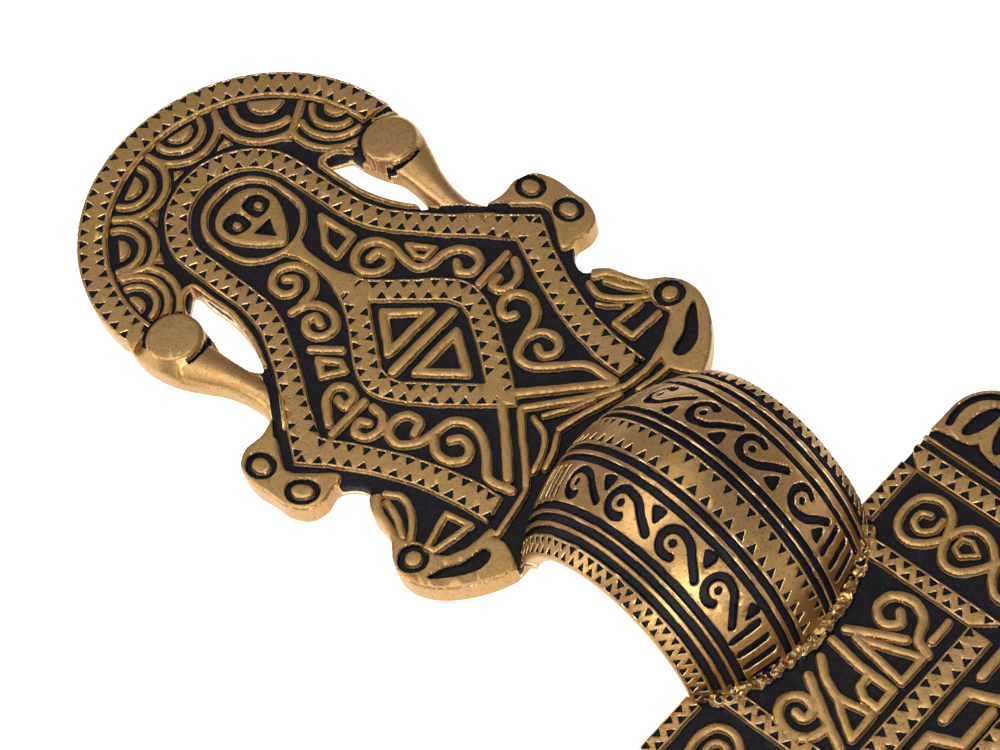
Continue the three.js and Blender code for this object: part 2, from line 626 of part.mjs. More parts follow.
// The side panels' interlaced scrolls, the palmette by the bow and its two spirals (as drawn, x to +X).
const SIDE_STROKES = [
  [0.9, false, [[19.3, 66.8], [18.0, 66.6], [17.0, 68.2], [18.0, 70.0], [20.6, 70.3], [22.5, 68.6],
    [22.6, 66.0], [20.6, 64.1], [17.6, 64.6], [15.9, 66.6], [16.6, 69.8], [19.0, 72.4], [21.8, 75.2],
    [21.8, 78.2], [19.6, 80.6], [17.4, 79.6], [17.6, 77.6]]],
  [0.9, false, [[20.6, 71.4], [17.2, 73.2], [16.0, 76.0], [16.2, 79.4], [18.4, 82.0], [21.6, 81.6]]],
];
const PALMETTE_STROKES = [
  [0.8, false, [[-10.2, 77.9], [-7.2, 77.9]]],
  [0.95, false, [[-5.6, 78.6], [-6.4, 76.6], [-8.9, 75.3], [-10.0, 73.0], [-8.9, 70.4], [-6.7, 70.1],
    [-5.6, 71.9], [-6.8, 73.5], [-8.0, 72.6]]],
  [0.75, true, [[-4.9, 78.5], [-2.2, 70.6], [-1.0, 78.5]]],
  [0.9, false, [[-5.6, 75.4], [-3.9, 72.0], [-2.4, 69.0]]],
  [0.9, false, [[0.4, 78.2], [0.3, 73.2], [-0.4, 68.6]]],
  [0.8, true, [[0.4, 78.4], [0.5, 74.8], [2.4, 75.0], [3.3, 76.4], [3.3, 78.4]]],
  [0.75, true, [[4.3, 78.5], [5.0, 73.6], [8.2, 78.5]]],
  [0.9, false, [[5.0, 73.6], [3.9, 71.0], [2.2, 69.0]]],
  [0.95, false, [[9.9, 78.3], [8.0, 74.6], [4.9, 69.4]]],
  [0.95, false, [[8.4, 75.4], [10.8, 74.7], [11.9, 72.4], [10.9, 69.8], [8.9, 69.1], [7.4, 70.6],
    [7.8, 72.6], [9.5, 72.6], [9.4, 71.3]]],
];

function headPlate() {
  const h = HEAD;
  const edge = lobedLine(4);
  const base = slab(edge, [], -HEAD_DROP - PLATE, -HEAD_DROP - RELIEF);
  const hollows = [];
  for (const [x, y, facing] of lobeCentres()) {
    hollows.push(stroke(arc(x, y, 4.5, facing - 60, facing + 60, 2), 0.9));
    const a = THREE.MathUtils.degToRad(facing);
    hollows.push(ellipse(x + 1.0 * Math.cos(a), y + 1.0 * Math.sin(a), 2.4, 1.0, 4, facing + 90));
  }
  const border = headRidge([
    ...lobedLine(4), [-h.borderHalf, h.near], [-h.borderHalf, h.borderFar], [h.borderHalf, h.borderFar],
    [h.borderHalf, h.near],
  ], hollows);
  const rim = headRidge(stroke([[h.rimHalf, h.near], [h.rimHalf, h.rimFar], [-h.rimHalf, h.rimFar],
    [-h.rimHalf, h.near]], 0.6));
  const edgeHalf = [
    [h.edgeOuter, h.near], [h.edgeOuter, h.edgeFar[1]], [0, h.edgeFar[1]], [0, h.edgeFar[0]],
    [h.edgeInner, h.edgeFar[0]], [h.edgeInner, h.edgeNear], [h.edgeStart, h.edgeNear],
    [h.edgeStart, h.near],
  ];
  const innerHalf = [
    [h.bandHalf, 61.5], [h.bandHalf, h.crossFar], [0, h.crossFar], [0, h.crossNear],
    [h.panelHalf, h.crossNear], [h.panelHalf, 61.5],
  ];
  const bands = [edgeHalf, innerHalf].flatMap((half) => [headRidge(half), headRidge(mirrored(half))]);
  const strokes = [...SIDE_STROKES, ...mirrorStrokes(SIDE_STROKES), ...PALMETTE_STROKES];
  for (let i = -3; i <= 2; i += 1) {
    const x = -4.2 + i * h.meanderPitch;
    const bars = [[x, h.meanderFar], [x + 5.2, h.meanderFar], [x + 6.7, h.meanderNear],
      [x + 11.0, h.meanderNear]];
    strokes.push([1.1, false, bars.slice(0, 2)], [1.1, false, bars.slice(1, 3)],
      [1.1, false, bars.slice(2, 4)]);
  }
  const raised = strokes.map(([width, closed, points]) => {
    if (closed) {
      const [outer, inner] = loop(points, width / 2, width / 2);
      return headRidge(outer, [inner]);
    }
    return headRidge(stroke(points.length > 3 ? smooth(points) : points, width));
  });
  return [base, border, rim, ...bands, ...raised];
}

// ---- Back: lugs, catch, axle rod and pin --------------------------------------------------------------

const ALONG_X = new THREE.Matrix4().makeBasis(
  new THREE.Vector3(0, 1, 0), new THREE.Vector3(0, 0, 1), new THREE.Vector3(1, 0, 0));
const ALONG_Y = new THREE.Matrix4().makeBasis(
  new THREE.Vector3(1, 0, 0), new THREE.Vector3(0, 0, 1), new THREE.Vector3(0, -1, 0));

function lug(side) {
  const w = LUG.width / 2;
  const root = -HEAD_DROP - PLATE + 0.4;
  const shape = new THREE.Shape(vectors([
    [PIN.y - w, root], [PIN.y - w, REST + 2.2], [PIN.y - LUG.flat / 2, REST],
      [PIN.y + LUG.flat / 2, REST],
    [PIN.y + w, REST + 2.2], [PIN.y + w, root],
  ]));
  const eye = AXLE.radius + 0.3;
  shape.holes.push(new THREE.Path(vectors(ellipse(PIN.y, PIN.z, eye, eye, 12))));
  const geometry = new THREE.ExtrudeGeometry(shape, { depth: LUG.outer - LUG.inner, bevelEnabled: false });
  geometry.applyMatrix4(ALONG_X);
  geometry.translate(side > 0 ? LUG.inner : -LUG.outer, 0, 0);
  return solidOf(geometry);
}

function pinCatch() {
  const { half, slot, roof, y0, y1 } = CATCH;
  const cheek = [[half, -PLATE + 0.4], [half, REST + 0.6], [half - 0.4, REST], [slot + 0.3, REST],
    [slot, REST + 0.4], [slot, roof - 0.8], [slot - 0.6, roof]];
  const outline = [...cheek, ...mirrored(cheek)];
  const geometry = new THREE.ExtrudeGeometry(new THREE.Shape(vectors(outline)),
    { depth: y1 - y0, bevelEnabled: false });
  geometry.applyMatrix4(ALONG_Y);
  geometry.translate(0, y1, 0);
  return solidOf(geometry);
}

function turned(profile, sides) {
  return new THREE.LatheGeometry(vectors(profile), sides);
}

function axleRod() {
  const { radius, head, headThick } = AXLE;
  const end = LUG.outer + 0.3;
  const tip = end + headThick;
  const geometry = turned([
    [0, -tip], [head - 0.4, -tip], [head, -tip + 0.4], [head, -end], [radius, -end],
    [radius, end], [head, end], [head, tip - 0.4], [head - 0.4, tip], [0, tip],
  ], 12);
  geometry.rotateZ(-Math.PI / 2);
  geometry.translate(0, PIN.y, PIN.z);
  return geometry;
}

function pinNeedle() {
  const { hub, bore, hubHalf, needle, tipY, y, z } = PIN;
  const tube = turned([
    [bore, -hubHalf], [hub - 0.3, -hubHalf], [hub, -hubHalf + 0.3], [hub, hubHalf - 0.3],
      [hub - 0.3, hubHalf],
    [bore, hubHalf], [bore, -hubHalf],
  ], 14);
  tube.rotateZ(-Math.PI / 2);
  tube.translate(0, y, z);
  const root = y - (hub + bore) / 2;
  const shaft = turned([
    [0, tipY], [0.22, tipY + 0.4], [0.62, tipY + 5], [needle * 0.9, tipY + 12], [needle, tipY + 26],
    [needle, root - 6], [needle + 0.5, root], [0, root],
  ], 8);
  shaft.translate(0, 0, z);
  return geometryOf(solidOf(tube).add(solidOf(shaft)));
}

// ---- The brooch ---------------------------------------------------------------------------------------

const MIDDLE_Y = (CRESCENT.y - CRESCENT.outer + HEAD.endLobeY + HEAD.lobe) / 2;

const bronze = new THREE.MeshStandardMaterial({
  name: 'cast_bronze', color: 0xa98a4e, roughness: 0.38, metalness: 1,
});
const wire = new THREE.MeshStandardMaterial({
  name: 'drawn_bronze', color: 0xb2925a, roughness: 0.3, metalness: 1,
});

function piece(name, geometry, material) {
  const merged = mergeVertices(geometry, 1e-4);
  merged.translate(0, -MIDDLE_Y, -REST);
  const mesh = new THREE.Mesh(merged, material);
  mesh.name = name;
  return mesh;
}

const casting = joinAll([
  joinAll(footPlate()), joinAll(headPlate()), bow(), lug(1), lug(-1), pinCatch(),
]);

const brooch = new THREE.Group();
brooch.name = 'great_bow_brooch';
brooch.add(piece('brooch_casting', geometryOf(casting), bronze));
const rod = axleRod();
rod.deleteAttribute('uv');
rod.deleteAttribute('normal');
brooch.add(piece('axle_rod', rod, wire));
brooch.add(piece('pin', pinNeedle(), wire));

export default brooch;
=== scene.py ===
"""Dresses the great bow brooch: a carved casting with worn ridges, a painted highlight along their edges and
dark ground, its rod and its pin.

Lengths are millimetres in the drawing frame, where z = 0 on the foot's ridge tops and y = 0 at its
nodules; Placement carries them into the frame's metres.
"""
import logging
import math
from dataclasses import dataclass, field
from enum import Enum
from typing import Iterable, Protocol

import bpy
import numpy as np
from mathutils import Matrix, Vector
from mathutils.geometry import delaunay_2d_cdt


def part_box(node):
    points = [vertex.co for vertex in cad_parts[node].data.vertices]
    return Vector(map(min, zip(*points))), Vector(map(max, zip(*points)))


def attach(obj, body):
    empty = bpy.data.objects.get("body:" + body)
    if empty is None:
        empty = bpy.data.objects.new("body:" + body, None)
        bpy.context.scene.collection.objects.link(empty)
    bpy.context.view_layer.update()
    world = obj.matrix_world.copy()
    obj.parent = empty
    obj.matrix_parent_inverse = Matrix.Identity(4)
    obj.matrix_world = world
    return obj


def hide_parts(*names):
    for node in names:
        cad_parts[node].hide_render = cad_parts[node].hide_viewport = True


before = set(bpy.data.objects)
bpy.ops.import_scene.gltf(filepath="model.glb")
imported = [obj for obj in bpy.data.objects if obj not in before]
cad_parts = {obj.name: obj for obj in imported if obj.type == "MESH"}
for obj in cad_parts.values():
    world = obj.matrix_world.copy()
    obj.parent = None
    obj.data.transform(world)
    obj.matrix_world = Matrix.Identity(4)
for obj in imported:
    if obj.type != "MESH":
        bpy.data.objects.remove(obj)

LOG = logging.getLogger("brooch")
Array = np.ndarray
Points = tuple[tuple[float, float], ...]
Scallop = tuple[float, float, tuple[float, ...]]
Colour = tuple[float, float, float, float]
Window = tuple[slice, slice]

GRID = 0.125              # spacing of the carved sheets' points
EDGE_REACH = 0.55         # points this many spacings from an outline are drawn onto it
WALL = 0.26               # width of the slope between a ridge top and the ground
DOME = 0.1                # how far a ridge's shoulders fall below its crown
HINGE_Y, HINGE_Z = 80.0, -12.3
SIDE_DARK = 0.1           # darkness of a plate's side walls
BACK_DARK = 0.3           # darkness of the backs and of the fittings on them
DARK_BASE = 1.0           # added to darkness while pieces are joined, so that new points show as less
FAINT_DARK = 0.28         # less darkness than this counts as rubbed metal
FAINT_SHARE = 0.3         # what rubbing leaves of it
BLACK: Colour = (0, 0, 0, 1)
WHITE: Colour = (1, 1, 1, 1)


class Side(Enum):
    """The two sides of the brooch, as the sign of x."""

    RIGHT = 1
    LEFT = -1


@dataclass(frozen=True)
class Placement:
    """Carries drawing millimetres into the frame's metres, fitted to the casting's box."""

    shift_y: float
    shift_z: float

    @classmethod
    def from_frame(cls, foot_end: float, rest: float) -> "Placement":
        """Reads the shift from the casting's box.

        Args:
            foot_end: y of the crescent's outermost point in the drawing.
            rest: z of the level that the brooch rests on in the drawing.

        Returns:
            The placement that puts those two where the frame has them.
        """
        low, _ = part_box("brooch_casting")
        return cls(low[1] * 1000 - foot_end, low[2] * 1000 - rest)

    def metres(self, points: Array) -> Array:
        """Returns drawing points (n, 3) in metres in the frame."""
        return (points + np.array([0.0, self.shift_y, self.shift_z])) * 0.001


# ---- Lines and distances --------------------------------------------------------------------------------


def curve(points: Points | Array, closed: bool = False, steps: int = 7) -> Array:
    """Draws a smooth line through control points (centripetal Catmull-Rom).

    Args:
        points: Control points.
        closed: Whether the line returns to its start.
        steps: Points per span.

    Returns:
        The line's points, without a repeated end when it is closed.
    """
    p = np.asarray(points, float)
    if closed:
        p = np.vstack([p[-1], p, p[0], p[1]])
    else:
        p = np.vstack([2 * p[0] - p[1], p, 2 * p[-1] - p[-2]])
    out = []
    for p0, p1, p2, p3 in zip(p[:-3], p[1:-2], p[2:-1], p[3:]):
        t1 = max(np.linalg.norm(p1 - p0), 1e-6) ** 0.5
        t2 = t1 + max(np.linalg.norm(p2 - p1), 1e-6) ** 0.5
        t3 = t2 + max(np.linalg.norm(p3 - p2), 1e-6) ** 0.5
        t = np.linspace(t1, t2, steps, endpoint=False)[:, None]
        a1 = p0 * (t1 - t) / t1 + p1 * t / t1
        a2 = p1 * (t2 - t) / (t2 - t1) + p2 * (t - t1) / (t2 - t1)
        a3 = p2 * (t3 - t) / (t3 - t2) + p3 * (t - t2) / (t3 - t2)
        b1 = a1 * (t2 - t) / t2 + a2 * t / t2
        b2 = a2 * (t3 - t) / (t3 - t1) + a3 * (t - t1) / (t3 - t1)
        out.append(b1 * (t2 - t) / (t2 - t1) + b2 * (t - t1) / (t2 - t1))
    line = np.vstack(out)
    return line if closed else np.vstack([line, p[-2]])


def arc(x: float, y: float, radius: float, start: float, end: float, steps: int = 24) -> Array:
    """Returns points on an arc between two angles in degrees."""
    a = np.radians(np.linspace(start, end, steps + 1))
    return np.stack([x + radius * np.cos(a), y + radius * np.sin(a)], axis=1)


def oval(x: float, y: float, rx: float, ry: float, turn: float = 0.0, steps: int = 28) -> Array:
    """Returns points round an ellipse turned by an angle in degrees."""
    a = np.linspace(0, 2 * math.pi, steps, endpoint=False)
    c, s = math.cos(math.radians(turn)), math.sin(math.radians(turn))
    px, py = rx * np.cos(a), ry * np.sin(a)
    return np.stack([x + px * c - py * s, y + px * s + py * c], axis=1)


def mirrored(points: Points | Array) -> Array:
    """Returns the points mirrored across x = 0, in reverse order."""
    return (np.asarray(points, float) * [-1, 1])[::-1]


def distance(x: Array, y: Array, line: Array) -> Array:
    """Returns how far each grid point lies from a line of straight pieces."""
    best = np.full(x.shape, 1e9)
    for (ax, ay), (bx, by) in zip(line[:-1], line[1:]):
        dx, dy = bx - ax, by - ay
        t = np.clip(((x - ax) * dx + (y - ay) * dy) / max(dx * dx + dy * dy, 1e-12), 0, 1)
        np.minimum(best, (x - ax - t * dx) ** 2 + (y - ay - t * dy) ** 2, out=best)
    return np.sqrt(best)


def within(x: Array, y: Array, edges: Iterable[tuple[Array, Array]]) -> Array:
    """Tells which points lie inside the closed loops that some edges form."""
    inside = np.zeros(x.shape, bool)
    for (ax, ay), (bx, by) in edges:
        if ay == by:
            continue
        cross = (y >= min(ay, by)) & (y < max(ay, by))
        inside ^= cross & (x < ax + (y - ay) * (bx - ax) / (by - ay))
    return inside


def depth_inside(x: Array, y: Array, outline: Array) -> Array:
    """Returns the distance to a closed outline, positive inside it."""
    ring = np.vstack([outline, outline[0]])
    away = distance(x, y, ring)
    return np.where(within(x, y, zip(ring[:-1], ring[1:])), away, -away)


def soft(value: Array) -> Array:
    """Rises smoothly from 0 at -0.5 to 1 at 0.5."""
    t = np.clip(value + 0.5, 0, 1)
    return t * t * (3 - 2 * t)


def noise(x: Array, y: Array, cell: float, seed: int) -> Array:
    """Returns smooth noise between -1 and 1 with lumps the size of a cell."""
    table = np.random.default_rng(seed).uniform(-1, 1, (256, 256))
    gx, gy = x / cell + 97.3, y / cell + 61.7
    ix, iy = np.floor(gx).astype(int), np.floor(gy).astype(int)
    fx, fy = gx - ix, gy - iy
    fx, fy = fx * fx * (3 - 2 * fx), fy * fy * (3 - 2 * fy)
    a = table[ix % 256, iy % 256] * (1 - fx) + table[(ix + 1) % 256, iy % 256] * fx
    b = table[ix % 256, (iy + 1) % 256] * (1 - fx) + table[(ix + 1) % 256, (iy + 1) % 256] * fx
    return a * (1 - fy) + b * fy


@dataclass(frozen=True)
class Stroke:
    """One carved line: its width and the points it runs through."""

    width: float
    points: Points
    closed: bool = False
    sharp: bool = False

    def line(self) -> Array:
        """Returns the stroke's centre line; a closed one ends where it starts."""
        if self.closed:
            return np.asarray(self.points + self.points[:1], float)
        if self.sharp or len(self.points) < 4:
            return np.asarray(self.points, float)
        return curve(self.points)

    def mirrored(self) -> "Stroke":
        """Returns the stroke on the other side of x = 0."""
        return Stroke(self.width, tuple((-x, y) for x, y in self.points), self.closed, self.sharp)


# ---- Carved sheets --------------------------------------------------------------------------------------


class Sheet:
    """A carved face: heights and darkness over a flat grid, with zero on the ridge tops."""

    def __init__(self, outline: Array, holes: list[Array], ground: float, wobble: float, seed: int) -> None:
        """Lays out the grid and sinks it to the ground level.

        Args:
            outline: The sheet's closed outline.
            holes: Closed outlines of the openings through it.
            ground: Depth of the sunk ground.
            wobble: How far the hand that carved the lines strays.
            seed: Seed of that hand's noise.
        """
        margin = 3 * GRID
        self.outline = outline
        self.ground = ground
        xs = np.arange(outline[:, 0].min() - margin, outline[:, 0].max() + margin, GRID)
        ys = np.arange(outline[:, 1].min() - margin, outline[:, 1].max() + margin, GRID)
        self.x0, self.y0 = xs[0], ys[0]
        self.x, self.y = np.meshgrid(xs, ys, indexing="ij")
        self.hand_x = self.x + wobble * self.stray(seed)
        self.hand_y = self.y + wobble * self.stray(seed + 2)
        self.height = np.full(self.x.shape, -ground)
        self.dark = np.ones(self.x.shape)
        self.inside = depth_inside(self.x, self.y, outline)
        for hole in holes:
            self.inside = np.minimum(self.inside, -depth_inside(self.x, self.y, hole))

    def stray(self, seed: int) -> Array:
        """Returns how the carving hand strays in one direction: long swings with short ones on them."""
        return noise(self.x, self.y, 1.7, seed) + noise(self.x, self.y, 0.8, seed + 1) / 2

    def window(self, line: Array, margin: float) -> Window:
        """Returns the part of the grid within a margin of a line's box."""
        low = np.floor((line.min(0) - margin - [self.x0, self.y0]) / GRID).astype(int)
        high = np.ceil((line.max(0) + margin - [self.x0, self.y0]) / GRID).astype(int) + 1
        low = np.maximum(low, 0)
        return slice(low[0], max(high[0], 0)), slice(low[1], max(high[1], 0))

    def lift(self, win: Window, inside: Array, reach: float) -> None:
        """Raises a shape out of the ground, its crown at zero.

        Args:
            win: The part of the grid that the shape touches.
            inside: Distance inside the shape's edge over that part.
            reach: Width over which the shape's shoulder rounds off.
        """
        cover = soft(inside / WALL)
        fall = DOME * (1 - np.clip(inside / reach, 0, 1)) ** 2
        level = -fall * cover - self.ground * (1 - cover)
        self.height[win] = np.maximum(self.height[win], level)
        self.dark[win] = np.minimum(self.dark[win], 1 - soft(inside / (1.5 * WALL) + 0.12))

    def sink(self, win: Window, inside: Array, depth: float) -> None:
        """Cuts a dark pit or groove of a given depth."""
        slope = 0.22
        cover = soft(inside / slope)
        cut = cover > 0.001
        height = self.height[win]
        self.height[win] = np.where(cut, np.minimum(height, height * (1 - cover) - depth * cover), height)
        self.dark[win] = np.maximum(self.dark[win], soft(inside / slope + 0.2))

    def raise_line(self, line: Array, width: float) -> None:
        """Raises a ridge along a line of straight pieces."""
        win = self.window(line, width)
        away = distance(self.hand_x[win], self.hand_y[win], line)
        self.lift(win, width / 2 - away, width / 2)

    def raise_strokes(self, strokes: Iterable[Stroke]) -> None:
        """Raises a ridge along each stroke."""
        for stroke in strokes:
            self.raise_line(stroke.line(), stroke.width)

    def raise_shape(self, outline: Array, holes: list[Array] | None = None, reach: float = 0.4) -> None:
        """Raises a flat shape with a closed outline, less its holes."""
        win = self.window(outline, 0.5)
        x, y = self.hand_x[win], self.hand_y[win]
        inside = depth_inside(x, y, outline)
        for hole in holes or []:
            inside = np.minimum(inside, -depth_inside(x, y, hole))
        self.lift(win, inside, reach)

    def sink_shape(self, outline: Array, depth: float) -> None:
        """Sinks a shape with a closed outline."""
        win = self.window(outline, 0.4)
        self.sink(win, depth_inside(self.hand_x[win], self.hand_y[win], outline), depth)

    def sink_line(self, line: Array, width: float, depth: float) -> None:
        """Cuts a groove along a line."""
        win = self.window(line, width)
        self.sink(win, width / 2 - distance(self.hand_x[win], self.hand_y[win], line), depth)

    def punch_row(self, line: Array, inward: Array, pitch: float, base: float, tall: float,
                  phase: float, depth: float = 0.34) -> None:
        """Punches a row of triangles whose bases lie along a line.

        Args:
            line: The line under the bases.
            inward: Points on the side that the apexes turn to; each mark goes by the nearest.
            pitch: Spacing of the triangles.
            base: Length of a base.
            tall: Height of a triangle.
            phase: Where the row starts, in pitches.
            depth: Depth of a punch mark.
        """
        runs = np.concatenate([[0], np.cumsum(np.linalg.norm(np.diff(line, axis=0), axis=1))])
        rng = np.random.default_rng(int(abs(line[0, 0] * 100)) + int(abs(line[0, 1] * 10)))
        step = 0.3
        for run in np.arange(phase * pitch, runs[-1], pitch):
            run += rng.uniform(-0.12, 0.12)
            at, ahead, back = (np.array([np.interp(place, runs, line[:, k]) for k in (0, 1)])
                               for place in (run, run + step, run - step))
            along = (ahead - back) / max(np.linalg.norm(ahead - back), 1e-9)
            toward = inward[np.argmin(np.linalg.norm(inward - at, axis=1))] - at
            across = np.array([-along[1], along[0]])
            if across @ toward < 0:
                across = -across
            half = base / 2 * rng.uniform(0.9, 1.08)
            apex = at + across * tall * rng.uniform(0.92, 1.06) + along * rng.uniform(-0.1, 0.1)
            self.sink_shape(np.array([at - along * half, at + along * half, apex]), depth)

    def round_edge(self, radius: float, inside: Array) -> None:
        """Rounds the face down to an edge, given how far inside it each point lies."""
        lack = np.clip(radius - inside, 0, radius)
        self.height -= radius - np.sqrt(np.maximum(radius * radius - lack * lack, 0))

    def points(self) -> tuple[Array, Array]:
        """Returns the sheet's points (x, y, height) and its triangles, cut off at the outline."""
        gx, gy = np.gradient(self.inside, GRID)
        steep = np.maximum(gx * gx + gy * gy, 0.2)
        near = np.abs(self.inside) < EDGE_REACH * GRID
        x = np.where(near, self.x - self.inside * gx / steep, self.x)
        y = np.where(near, self.y - self.inside * gy / steep, self.y)
        kept = self.inside > -EDGE_REACH * GRID
        number = -np.ones(kept.shape, int)
        number[kept] = np.arange(kept.sum())
        a, b, c, d = number[:-1, :-1], number[1:, :-1], number[1:, 1:], number[:-1, 1:]
        corners = np.stack([a, b, c, d], axis=-1).reshape(-1, 4)
        present = (corners >= 0).sum(axis=1)
        quads = corners[present == 4]
        faces = [quads[:, [0, 1, 2]], quads[:, [0, 2, 3]]]
        for missing, order in enumerate(([1, 2, 3], [0, 2, 3], [0, 1, 3], [0, 1, 2])):
            three = (present == 3) & (corners[:, missing] < 0)
            faces.append(corners[three][:, order])
        places = np.stack([x[kept], y[kept], self.height[kept]], axis=1)
        return places, np.vstack(faces)

    def sample(self, values: Array, x: Array, y: Array) -> Array:
        """Returns grid values at free points, blended between the four nearest."""
        gx = np.clip((x - self.x0) / GRID, 0, values.shape[0] - 1.001)
        gy = np.clip((y - self.y0) / GRID, 0, values.shape[1] - 1.001)
        ix, iy = gx.astype(int), gy.astype(int)
        fx, fy = gx - ix, gy - iy
        low = values[ix, iy] * (1 - fx) + values[ix + 1, iy] * fx
        high = values[ix, iy + 1] * (1 - fx) + values[ix + 1, iy + 1] * fx
        return low * (1 - fy) + high * fy


# ---- Meshes ---------------------------------------------------------------------------------------------


class Form(Protocol):
    """A surface that a carved sheet is laid on."""

    def bend(self, places: Array) -> Array:
        """Carries sheet points (across, along, height) to drawing points."""

    def unbend(self, places: Array) -> Array:
        """Carries drawing points back to sheet points."""


def deselect() -> None:
    """Leaves nothing selected."""
    bpy.ops.object.select_all(action="DESELECT")


def make_active(piece: bpy.types.Object) -> None:
    """Selects one object alone and makes it active."""
    deselect()
    piece.select_set(True)
    bpy.context.view_layer.objects.active = piece


def blank(name: str) -> bpy.types.Object:
    """Adds an object with an empty mesh, alone selected and active."""
    deselect()
    bpy.ops.mesh.primitive_plane_add(size=1)
    piece = bpy.context.object
    piece.name = name
    piece.data.clear_geometry()
    return piece


def new_object(name: str, places: Array, faces: Array) -> bpy.types.Object:
    """Makes an object from points and triangles."""
    mesh = bpy.data.meshes.new(name)
    mesh.vertices.add(len(places))
    mesh.vertices.foreach_set("co", places.astype(np.float32).ravel())
    mesh.loops.add(len(faces) * 3)
    mesh.loops.foreach_set("vertex_index", faces.astype(np.int32).ravel())
    mesh.polygons.add(len(faces))
    mesh.polygons.foreach_set("loop_start", np.arange(0, len(faces) * 3, 3, dtype=np.int32))
    mesh.update(calc_edges=True)
    mesh.validate()
    piece = bpy.data.objects.new(name, mesh)
    bpy.context.scene.collection.objects.link(piece)
    return piece


def vertex_places(piece: bpy.types.Object) -> Array:
    """Returns the points of an object's mesh."""
    flat = np.empty(len(piece.data.vertices) * 3, np.float32)
    piece.data.vertices.foreach_get("co", flat)
    return flat.reshape(-1, 3).astype(float)


def move_to_frame(piece: bpy.types.Object, placement: Placement) -> None:
    """Carries a piece's mesh from drawing millimetres to metres in the frame."""
    places = placement.metres(vertex_places(piece))
    piece.data.vertices.foreach_set("co", places.astype(np.float32).ravel())


def set_patina(piece: bpy.types.Object, dark: Array) -> None:
    """Gives each point of a piece its darkness, as the "patina" attribute."""
    attribute = piece.data.attributes.new("patina_and_painted_shade", "FLOAT", "POINT")
    attribute.data.foreach_set("value", (dark + DARK_BASE).astype(np.float32))


def apply_modifier(piece: bpy.types.Object, kind: str, **settings: object) -> None:
    """Adds a modifier with its settings and applies it."""
    make_active(piece)
    modifier = piece.modifiers.new(kind.lower(), kind)
    for key, value in settings.items():
        setattr(modifier, key, value)
    bpy.ops.object.modifier_apply(modifier=modifier.name)


def unite(piece: bpy.types.Object, other: bpy.types.Object) -> None:
    """Joins another closed object into a closed one and removes the other."""
    apply_modifier(piece, "BOOLEAN", operation="UNION", solver="MANIFOLD", object=other)
    bpy.data.objects.remove(other)


def boundary_edges(faces: Array) -> Array:
    """Returns the directed edges that only one triangle uses."""
    edges = np.vstack([faces[:, [0, 1]], faces[:, [1, 2]], faces[:, [2, 0]]])
    size = faces.max() + 1
    forward = edges[:, 0].astype(np.int64) * size + edges[:, 1]
    backward = edges[:, 1].astype(np.int64) * size + edges[:, 0]
    return edges[~np.isin(forward, backward)]


